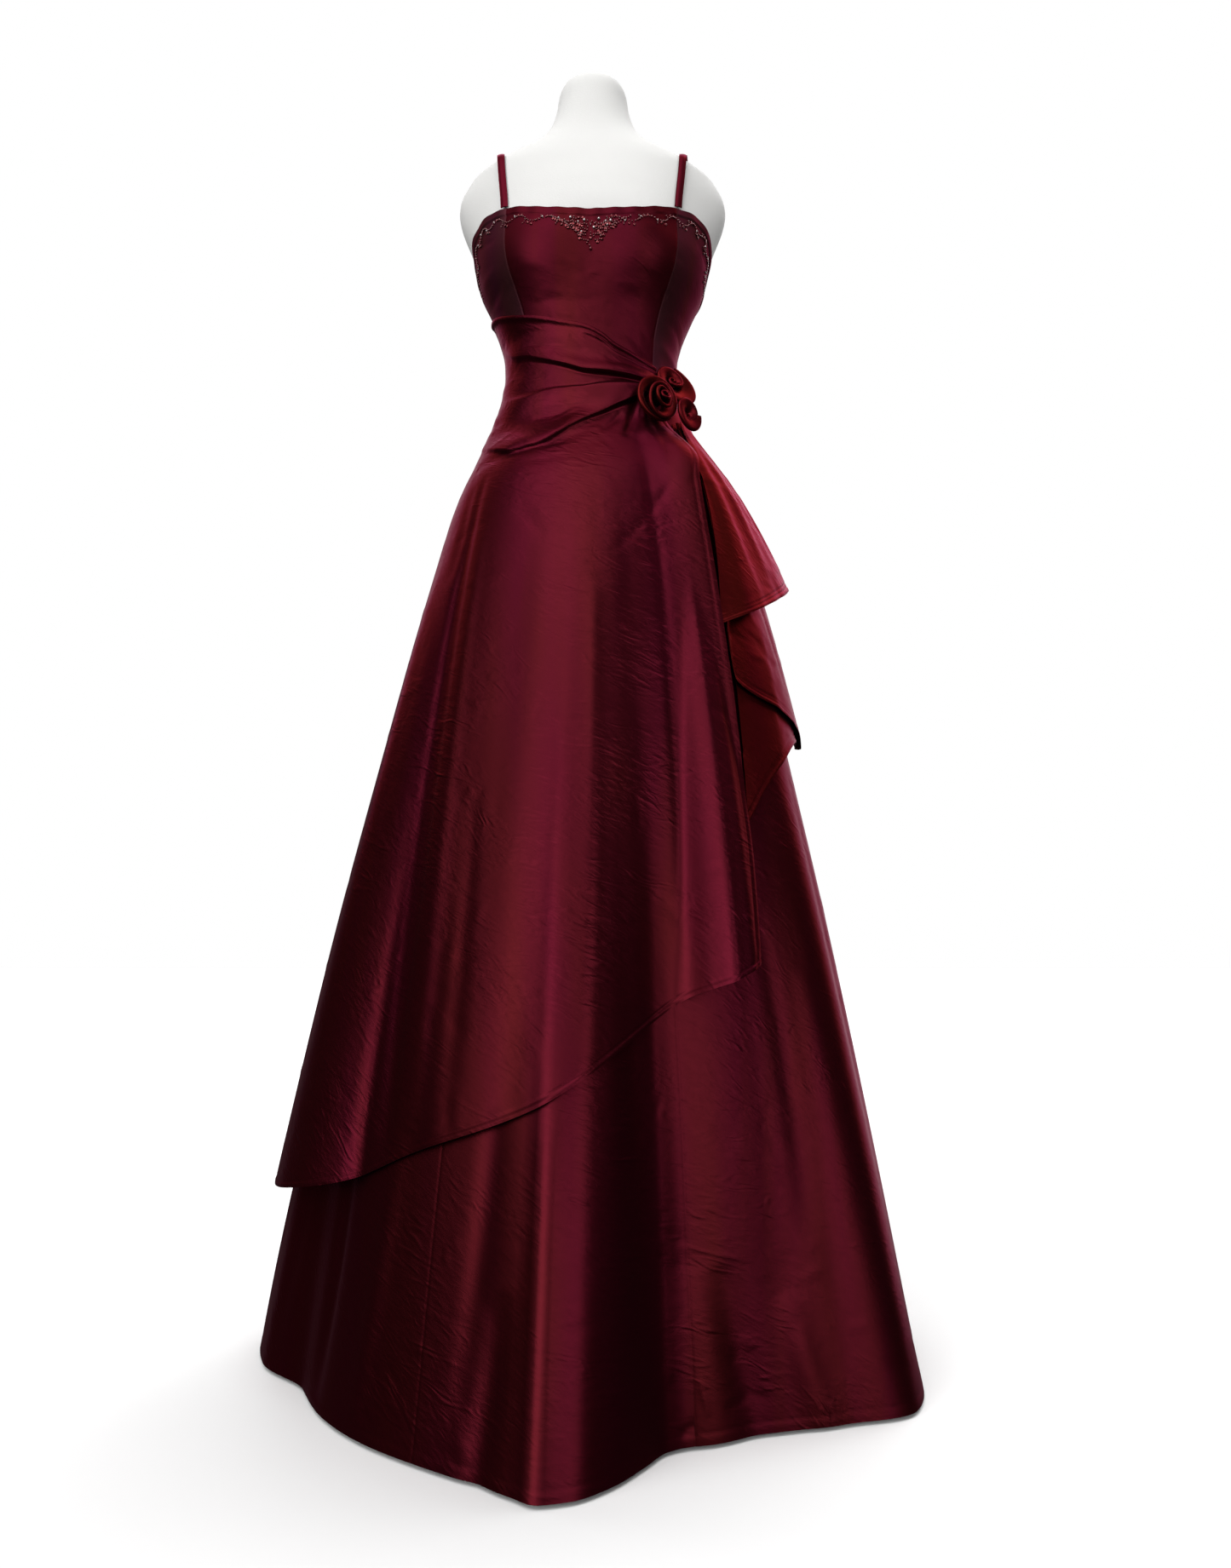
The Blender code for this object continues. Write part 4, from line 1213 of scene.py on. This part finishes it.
class DRESS_OT_beading(Operator):
    """A beaded vine under the neckline, with a denser spray at the centre front."""

    bl_idname = "dress.beading"
    bl_label = "Beading"

    def execute(self, context):
        settings = context.scene.dress_beads
        self.walk = edge_walk()
        self.beads, self.sequins, self.crystals = bmesh.new(), bmesh.new(), bmesh.new()
        self.vine(settings)
        self.spray(settings)
        glass = bead_glass("garnet_beads", tuple(settings.red), 0.18, 0.2)
        foil = bead_glass("red_sequins", darker(settings.red, 1.3)[:3], 0.25, 0.85)
        clear = bead_glass("crystal_stones", tuple(settings.crystal), 0.08, 0.7)
        for bm, name, finish in (
            (self.beads, "beading_beads", glass),
            (self.sequins, "beading_sequins", foil),
            (self.crystals, "beading_crystals", clear),
        ):
            placed(joined(bm, name), finish)
        return {"FINISHED"}

    def spot(self, arc, depth, lift):
        """A point on the bodice at an arc length along its top edge and a depth below it."""
        arcs, angles, heights = self.walk
        angle, z = np.interp(arc, arcs, angles), np.interp(arc, arcs, heights)
        ahead, back = arc + MM, arc - MM
        radius = float(bodice_radius(angle, z))
        run = math.radians(np.interp(ahead, arcs, angles) - np.interp(back, arcs, angles)) * radius
        rise = np.interp(ahead, arcs, heights) - np.interp(back, arcs, heights)
        length = math.hypot(run, rise)
        angle = angle + math.degrees(rise / length * depth / radius)
        z = z - run / length * depth
        a, h = np.array([angle]), np.array([z])
        surface = bodice_radius(a, h) + bodice_relief(a, h)
        out = polar(a, 1.0, 0 * h)[0]
        return Vector(polar(a, surface + lift, h)[0]), Vector(out)

    def bead(self, arc, depth, radius, bm=None):
        place, _ = self.spot(arc, depth, radius * 0.6)
        matrix = Matrix.Translation(place)
        bmesh.ops.create_icosphere(bm or self.beads, subdivisions=1, radius=radius, matrix=matrix)

    def sequin(self, arc, depth, radius, tilt):
        place, out = self.spot(arc, depth, 0.7 * MM)
        turn = out.to_track_quat("Z", "Y").to_matrix().to_4x4() @ Matrix.Rotation(tilt, 4, "X")
        bmesh.ops.create_cone(
            self.sequins,
            cap_ends=True,
            segments=8,
            radius1=radius,
            radius2=radius * 0.6,
            depth=0.5 * MM,
            matrix=Matrix.Translation(place) @ turn,
        )

    def stem_depth(self, arc, settings):
        return VINE_DEPTH + VINE_SWING * math.sin(2 * math.pi * arc / settings.wave)

    def vine(self, settings):
        dice = random.Random(11)
        reach = self.walk[0][-1] - 0.012
        arc = -reach
        while arc < reach:
            size = settings.radius * dice.uniform(0.8, 1.15)
            self.bead(arc, self.stem_depth(arc, settings), size)
            arc += settings.spacing * dice.uniform(0.85, 1.3)
        bends = int(2 * reach / settings.wave * 2)
        for k in range(-bends // 2, bends // 2 + 1):
            start = (k + 0.5) * settings.wave / 2
            if abs(start) < reach - 0.01:
                self.tendril(start, 1 if k % 2 else -1, dice, settings)

    def tendril(self, start, way, dice, settings):
        """A short curl of beads with a leaf of sequins and a stone at its tip."""
        depth = self.stem_depth(start, settings)
        for i in range(1, 6):
            turn = i * 0.55
            along = 0.0052 * math.sin(turn) + 0.0012 * i
            aside = way * 0.0058 * (1 - math.cos(turn * 0.9))
            place = in_vine(depth + aside)
            self.bead(start + along, place, settings.radius * dice.uniform(0.75, 1.0))
        for i in range(2):
            place = in_vine(depth - way * (0.003 + 0.002 * i), 0.032)
            self.sequin(start - 0.004 + 0.005 * i, place, 2.0 * MM, dice.uniform(-0.5, 0.5))
        if dice.random() < 0.5:
            tip = in_vine(depth + way * 0.006)
            self.bead(start + 0.010, tip, 1.2 * MM, self.crystals)

    def spray(self, settings):
        """The centre front: swags of beads and stones, and one drop."""
        dice = random.Random(5)
        for swag in range(4):
            half = 0.044 - 0.009 * swag
            count = int(2 * half / (settings.spacing * 0.95))
            for i in range(count + 1):
                share = i / count * 2 - 1
                depth = 0.013 + 0.0045 * swag + (0.008 + 0.002 * swag) * (1 - share * share)
                shaken = depth + dice.uniform(-1, 1) * MM
                self.bead(share * half, shaken, settings.radius * dice.uniform(0.8, 1.3))
                if dice.random() < 0.25:
                    self.sequin(share * half, depth + 2.5 * MM, 2.3 * MM, dice.uniform(-0.6, 0.6))
                if dice.random() < 0.05:
                    self.bead(share * half, depth - 2.2 * MM, 1.3 * MM, self.crystals)
        for arc, depth in ((-0.022, 0.014), (-0.006, 0.016), (0.008, 0.014), (0.021, 0.018), (0.001, 0.025)):
            self.bead(arc, depth, 1.9 * MM, self.crystals)
        for i in range(7):
            self.bead(0.0008 * math.sin(i), 0.030 + 0.0026 * i, settings.radius * (0.9 + 0.05 * i))
        for arc, depth in ((-0.008, 0.033), (0.008, 0.033), (-0.014, 0.028), (0.015, 0.028)):
            self.sequin(arc, depth, 2.6 * MM, 0.3)
            self.bead(arc, depth + 3 * MM, 1.5 * MM)
        self.bead(0.0, 0.0495, 2.0 * MM)


class DRESS_OT_underskirt(Operator):
    """The floor-length underskirt's five gores, with their folds, creases and stitched hem."""

    bl_idname = "dress.underskirt"
    bl_label = "Underskirt"

    def execute(self, context):
        settings = context.scene.dress_cloth
        finish = taffeta("taffeta_underskirt", settings, settings.colour, 0.75)
        for (name, left, columns), (_, right, _) in zip(GORES, GORES[1:]):
            small = crinkles(left + 400, 130, (left, right), (0.01, 1.0), 0.8, 0.7)

            def surface(u, v, left=left, right=right, small=small):
                u = seam_columns(u)
                z = HEM_Z + hem_rows(v) * (WAIST_SEAM_Z - SEAM_GAP / 2 - HEM_Z)
                angle = left * (1 - u) + right * u
                radius = skirt_radius(angle, z)
                wide = math.radians(right - left) * radius
                relief = crease_relief(angle, z, radius, SKIRT_CREASES + small)
                free = smoothstep((over_hem(angle) - z) / 0.05)
                relief = np.clip(relief, -0.008, 0.001 + 0.007 * free)
                relief += seam_dip(u, wide, depth=0.0002) + hem_relief(z - HEM_Z, depth=0.00015, stitch=0.010)
                return polar(angle, radius + relief, z)

            obj = cloth_sheet(f"{name}_taffeta", columns, 190, surface)
            placed(obj, finish, [name])
        return {"FINISHED"}


def over_hem(angle):
    """Height of the overskirt's hem, front and back."""
    front = wrapped(angle)
    back = curve(BACK_DRAPE, np.where(front < DRAPE_LEFT, front, front - 360), 2)
    return np.where((front >= DRAPE_LEFT) & (front < CASCADE_TOP_ANGLE), curve(DRAPE_HEM, front), back)


def pleat_relief(angle, z):
    relief = np.zeros_like(z)
    for pleat, above, below in PLEATS:
        relief += curve(pleat, angle, 2) * fold(z - curve(pleat, angle), above, below)
    return relief


def doubled_edge(angle, below_top):
    """The drape's rolled top edge, doubled where it runs down to the roses."""
    doubled = smoothstep((angle + 14) / 20)
    roll = 0.0020 * fold(0.0030 - below_top, 0.0030, 0.0035)
    groove = -0.0010 * bump(below_top - 0.0068, 0.0011) * doubled
    second = 0.0016 * bump(below_top - 0.0095, 0.0018) * doubled
    return roll + groove + second


class DRESS_OT_overskirt(Operator):
    """The overskirt's front, pleated into the roses, and its back."""

    bl_idname = "dress.overskirt"
    bl_label = "Overskirt"

    def execute(self, context):
        settings = context.scene.dress_cloth
        finish = taffeta("taffeta_overskirt", settings, settings.colour)
        front = cloth_sheet("overskirt_front_taffeta", 156, 290, self.front, 0.9 * MM)
        placed(front, finish, ["overskirt_front"])
        back = cloth_sheet("overskirt_back_taffeta", 120, 150, self.back, 0.9 * MM)
        placed(back, finish, ["overskirt_back"])
        return {"FINISHED"}

    def front(self, u, v):
        place = DRAPE_LEFT + (DRAPE_RIGHT - DRAPE_LEFT) * (1 - hem_rows(1 - u, 1.25))
        top, hem = curve(DRAPE_TOP, place), curve(DRAPE_HEM, place)
        lines = [top] + [curve(pleat, place) for pleat, _, _ in PLEATS]
        lines += [lines[-1] - PLEAT_BELOW, hem]
        down = 1 - v
        k = np.clip(np.searchsorted(DRAPE_ROWS, down, side="right") - 1, 0, len(DRAPE_ROWS) - 2)
        rows = np.array(DRAPE_ROWS)
        share = (down - rows[k]) / (rows[k + 1] - rows[k])
        share = np.where(k == len(lines) - 2, 1 - hem_rows(1 - share, 1.4), share)
        stacked = np.array(lines)
        here = np.arange(len(place))
        z = stacked[k, here] + (stacked[k + 1, here] - stacked[k, here]) * share
        reach = (curve(DRAPE_EDGE, z) - DRAPE_LEFT) / (DRAPE_RIGHT - DRAPE_LEFT)
        angle = DRAPE_LEFT + (place - DRAPE_LEFT) * reach
        radius = over_radius(angle, z)
        relief = crease_relief(angle, z, radius, DRAPE_CREASES + self.small_front)
        relief = np.maximum(relief, under_radius(angle, z) + CLOTH_CLEAR - radius)
        relief += pleat_relief(angle, z) + doubled_edge(angle, top - z)
        relief += hem_relief(z - hem)
        wide = DRAPE_RIGHT - DRAPE_LEFT
        side = (DRAPE_RIGHT - place) / wide * radius * math.radians(wide)
        relief += hem_relief(side, stitch=0.007) * (z < 1.05)
        return polar(angle, radius + relief, z)

    small_front = crinkles(21, 300, (-95, 40), (0.22, 1.19), 0.9, 0.6)

    def back(self, u, v):
        turn = -BACK_DRAPE[-1][0] - u * (BACK_DRAPE[0][0] - BACK_DRAPE[-1][0])
        turn = np.maximum(turn, -BACK_DRAPE[0][0] + math.degrees(SEAM_GAP / BACK_DRAPE[0][2]))
        top, hem = curve(BACK_DRAPE, -turn, 1), curve(BACK_DRAPE, -turn, 2)
        z = hem + (top - hem) * hem_rows(v, 1.3)
        widest = BACK_DRAPE[0][0] - BACK_DRAPE[-1][0]
        reach = (DRAPE_LEFT + 360 - curve(BACK_EDGE, z)) / widest
        angle = DRAPE_LEFT - (turn + DRAPE_LEFT) * reach
        radius = over_radius(angle, z)
        relief = crease_relief(angle, z, radius, BACK_CREASES + self.small_back)
        relief = np.maximum(relief, under_radius(angle, z) + CLOTH_CLEAR - radius) + hem_relief(z - hem)
        relief += doubled_edge(-90, top - z)
        return polar(angle, radius + relief, z)

    small_back = crinkles(22, 300, (-285, -95), (0.25, 1.18))


def cascade_stations():
    """Places along the cascade's folded hem: number, angle, distance off the skirt, hem height."""
    stations = []
    for row, next_row in zip(CASCADE, CASCADE[1:]):
        angle, _, start_off, _, z, late = row
        next_angle, end_off, inner, next_z, after_z, _ = next_row
        for i in range(CASCADE_RUN + 1):
            t = i / CASCADE_RUN
            off = start_off + (end_off - start_off) * t
            stations.append((angle + (next_angle - angle) * t, off, z + (next_z - z) * t**late))
        if next_row is CASCADE[-1]:
            break
        way = 1 if next_angle > angle else -1
        skirt = float(skirt_radius(np.array(float(next_angle)), np.array(next_z)))
        turn_radius = abs(end_off - inner) / 2
        for j in range(1, CASCADE_TURN):
            a = math.pi * j / CASCADE_TURN
            off = (end_off + inner) / 2 + (end_off - inner) / 2 * math.cos(a)
            hem = next_z + (after_z - next_z) * j / CASCADE_TURN
            stations.append((next_angle + way * math.degrees(turn_radius * math.sin(a) / skirt), off, hem))
    return tuple((i, *station) for i, station in enumerate(stations))


class DRESS_OT_cascade(Operator):
    """The folded tail that falls from under the roses, with its double-stitched hem."""

    bl_idname = "dress.cascade"
    bl_label = "Cascade"

    def execute(self, context):
        settings = context.scene.dress_cloth
        self.stations = cascade_stations()
        obj = cloth_sheet("cascade_taffeta", 200, 110, self.surface, 0.8 * MM)
        # The cascade's brighter red is painted light
        finish = taffeta("taffeta_cascade", settings, settings.cascade_painted_light_colour, 0.8)
        placed(obj, finish, ["cascade"])
        return {"FINISHED"}

    def surface(self, u, v):
        last = len(self.stations) - 1
        s, t = u * last, 1 - hem_rows(v, 1.3)
        angle, off, hem = (curve(self.stations, s, column) for column in (1, 2, 3))
        narrow = CASCADE_TOP_SPREAD + (1 - CASCADE_TOP_SPREAD) * t
        turned = CASCADE_TOP_ANGLE + (angle - CASCADE_TOP_ANGLE) * narrow
        z = CASCADE_TOP_Z + (hem - CASCADE_TOP_Z) * t
        gathered = CASCADE_TOP_REST + CASCADE_TOP_DEPTH * (1 - s / last)
        off = gathered + (off - gathered) * t
        ridge = bump(angle - CASCADE_RIDGE["angle"], CASCADE_RIDGE["spread"]) * (s < CASCADE_RUN) * t
        radius = skirt_radius(turned, z) + off + CASCADE_RIDGE["out"] * ridge
        relief = crease_relief(turned, z, radius, CASCADE_CREASES + self.small)
        relief = np.clip(relief, -0.0018, 0.0018) * smoothstep(t * 4)
        relief += hem_relief(z - hem, depth=0.0005, stitch=0.005, second=0.009)
        return polar(turned, radius + relief, z)

    small = crinkles(31, 120, (40, 92), (0.58, 1.02), 0.8, 0.8)


class DRESS_OT_roses(Operator):
    """Three roses, each a rolled strip inside a ring of turned-back petals."""

    bl_idname = "dress.roses"
    bl_label = "Roses"

    def execute(self, context):
        settings = context.scene.dress_cloth
        # The roses' lighter red is painted light
        finish = taffeta("taffeta_rose", settings, settings.rose_painted_light_colour, 0.25)
        for name, angle, tilt, radius, pull, pull_to, moved in ROSES:
            obj = self.rose(name, angle, tilt, radius, pull, math.radians(pull_to), moved)
            placed(obj, finish, [name])
        return {"FINISHED"}

    def rose(self, name, angle, tilt, radius, pull, pull_to, moved):
        """A strip wound on itself. Its lip is rolled outwards and its foot stands on the solid's."""
        out = (Vector(polar(angle, 1.0, 0.0)) + Vector((0, 0, tilt))).normalized()
        right = Vector((0, 0, 1)).cross(out).normalized()
        axes = np.array([right, out.cross(right), out])
        solid = np.array([vert.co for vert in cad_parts[name].data.vertices]) @ axes.T
        low, high = solid.min(axis=0), solid.max(axis=0)
        centre = np.array([(low[0] + high[0]) / 2, (low[1] + high[1]) / 2, low[2]]) + np.array(moved)
        wraps = ROSE_WRAPS[name]
        turns = wraps[-1][0]

        def strip(u, v):
            turn = turns * u
            foot, lip, tall = (curve(wraps, turn, column) * radius for column in (1, 2, 3))
            around = 2 * np.pi * turn
            wave = 1 + 0.05 * np.sin(around * 0.71 + 0.6) + 0.025 * np.sin(around * 2.3)
            pulled = 1 + pull * smoothstep(turn / turns * 2 - 0.6) * np.cos((around - pull_to) / 2) ** 8
            lip = lip * wave * pulled
            up = np.minimum(v / 0.7, 1.0)
            roll = np.radians(165) * np.maximum(v - 0.7, 0.0) / 0.3
            small = ROSE_LIP * (0.6 + 0.5 * u)
            r = foot + (lip - small - foot) * up**1.7 + small * np.sin(roll)
            height = tall * (1 - (1 - up) ** 1.7) - small * (1 - np.cos(roll))
            height = height * (1 + 0.06 * np.sin(around * 1.37 + 1.1))
            local = np.stack((r * np.cos(around), r * np.sin(around), height), axis=-1)
            return (local + centre) @ axes

        return cloth_sheet(f"{name}_taffeta", int(80 * turns), 20, strip, 0.5 * MM, strip=True)


# The lights: name, place that each shines from, its strength in the settings, spread in degrees
LIGHTS = (
    ("front_light", (-0.50, -1.0, 0.58), "key", 80),
    ("fill_light", (0.78, -1.0, 0.20), "fill", 38),
    ("low_light", (-0.55, -1.0, 0.18), "low", 44),
    ("top_light", (-0.15, -0.45, 1.3), "top", 50),
    ("back_light", (0.3, 0.9, 1.2), "back", 60),
    ("right_light", (0.75, 1.0, 0.30), "sides", 50),
    ("right_high_light", (1.0, 0.45, 1.4), "sides", 48),
    ("left_high_light", (-0.85, 1.0, 1.1), "sides", 50),
)
FLOOR_SIZE = 30


class DRESS_OT_studio(Operator):
    """A pale floor, soft lights and the camera at the photo's angle."""

    bl_idname = "dress.studio"
    bl_label = "Studio"

    def execute(self, context):
        settings = context.scene.dress_studio
        bm = bmesh.new()
        bmesh.ops.create_grid(bm, x_segments=1, y_segments=1, size=FLOOR_SIZE)
        floor = joined(bm, "studio_floor")
        floor.data.materials.append(floor_paint())
        floor.visible_diffuse = False
        floor.visible_glossy = False
        for name, towards, strength, spread in LIGHTS:
            self.light(name, towards, getattr(settings, strength), spread)
        world = bpy.data.worlds.new("studio_world")
        context.scene.world = world
        world.use_nodes = True
        tree = world.node_tree
        sky, wall = tree.nodes["Background"], tree.nodes.new("ShaderNodeBackground")
        mix = tree.nodes.new("ShaderNodeMixShader")
        sky.inputs["Color"].default_value = wall.inputs["Color"].default_value = (1, 1, 1, 1)
        sky.inputs["Strength"].default_value = settings.surround
        wall.inputs["Strength"].default_value = settings.backdrop
        tree.links.new(tree.nodes.new("ShaderNodeLightPath").outputs["Is Camera Ray"], mix.inputs[0])
        tree.links.new(sky.outputs[0], mix.inputs[1])
        tree.links.new(wall.outputs[0], mix.inputs[2])
        tree.links.new(mix.outputs[0], tree.nodes["World Output"].inputs["Surface"])
        context.scene.view_settings.view_transform = "Standard"
        camera = bpy.data.cameras.new("photo_camera")
        camera.sensor_fit = "VERTICAL"
        camera.sensor_height = 36
        camera.lens = settings.lens
        obj = bpy.data.objects.new("photo_camera", camera)
        context.scene.collection.objects.link(obj)
        obj.location = (settings.camera_aside, -settings.camera_distance, settings.camera_height)
        obj.rotation_euler = (math.pi / 2 + settings.camera_pitch, 0, 0)
        context.scene.camera = obj
        return {"FINISHED"}

    def light(self, name, towards, strength, spread):
        lamp = bpy.data.lights.new(name, "SUN")
        lamp.energy = strength
        lamp.angle = math.radians(spread)
        obj = bpy.data.objects.new(name, lamp)
        bpy.context.scene.collection.objects.link(obj)
        obj.location = towards
        obj.rotation_euler = Vector(towards).to_track_quat("Z", "Y").to_euler()


PIECE_OPERATORS = (
    DRESS_OT_form,
    DRESS_OT_stand,
    DRESS_OT_bodice,
    DRESS_OT_straps,
    DRESS_OT_beading,
    DRESS_OT_underskirt,
    DRESS_OT_overskirt,
    DRESS_OT_cascade,
    DRESS_OT_roses,
    DRESS_OT_studio,
)
SETTINGS = (
    ("dress_cloth", ClothSettings),
    ("dress_beads", BeadSettings),
    ("dress_form", FormSettings),
    ("dress_studio", StudioSettings),
)


class DRESS_PT_panel(Panel):
    bl_idname = "DRESS_PT_panel"
    bl_label = "Evening Dress"
    bl_space_type = "VIEW_3D"
    bl_region_type = "UI"
    bl_category = "Dress"

    def draw(self, context):
        for name, _ in SETTINGS:
            group = getattr(context.scene, name)
            for key in group.__annotations__:
                self.layout.prop(group, key)
        for operator in PIECE_OPERATORS:
            self.layout.operator(operator.bl_idname)


def register():
    for name, group in SETTINGS:
        bpy.utils.register_class(group)
        setattr(bpy.types.Scene, name, PointerProperty(type=group))
    for operator in PIECE_OPERATORS:
        bpy.utils.register_class(operator)
    bpy.utils.register_class(DRESS_PT_panel)


def unregister():
    bpy.utils.unregister_class(DRESS_PT_panel)
    for operator in reversed(PIECE_OPERATORS):
        bpy.utils.unregister_class(operator)
    for name, group in reversed(SETTINGS):
        delattr(bpy.types.Scene, name)
        bpy.utils.unregister_class(group)


def main():
    register()
    for operator in PIECE_OPERATORS:
        getattr(bpy.ops.dress, operator.bl_idname.removeprefix("dress."))()


if __name__ == "__main__":
    main()
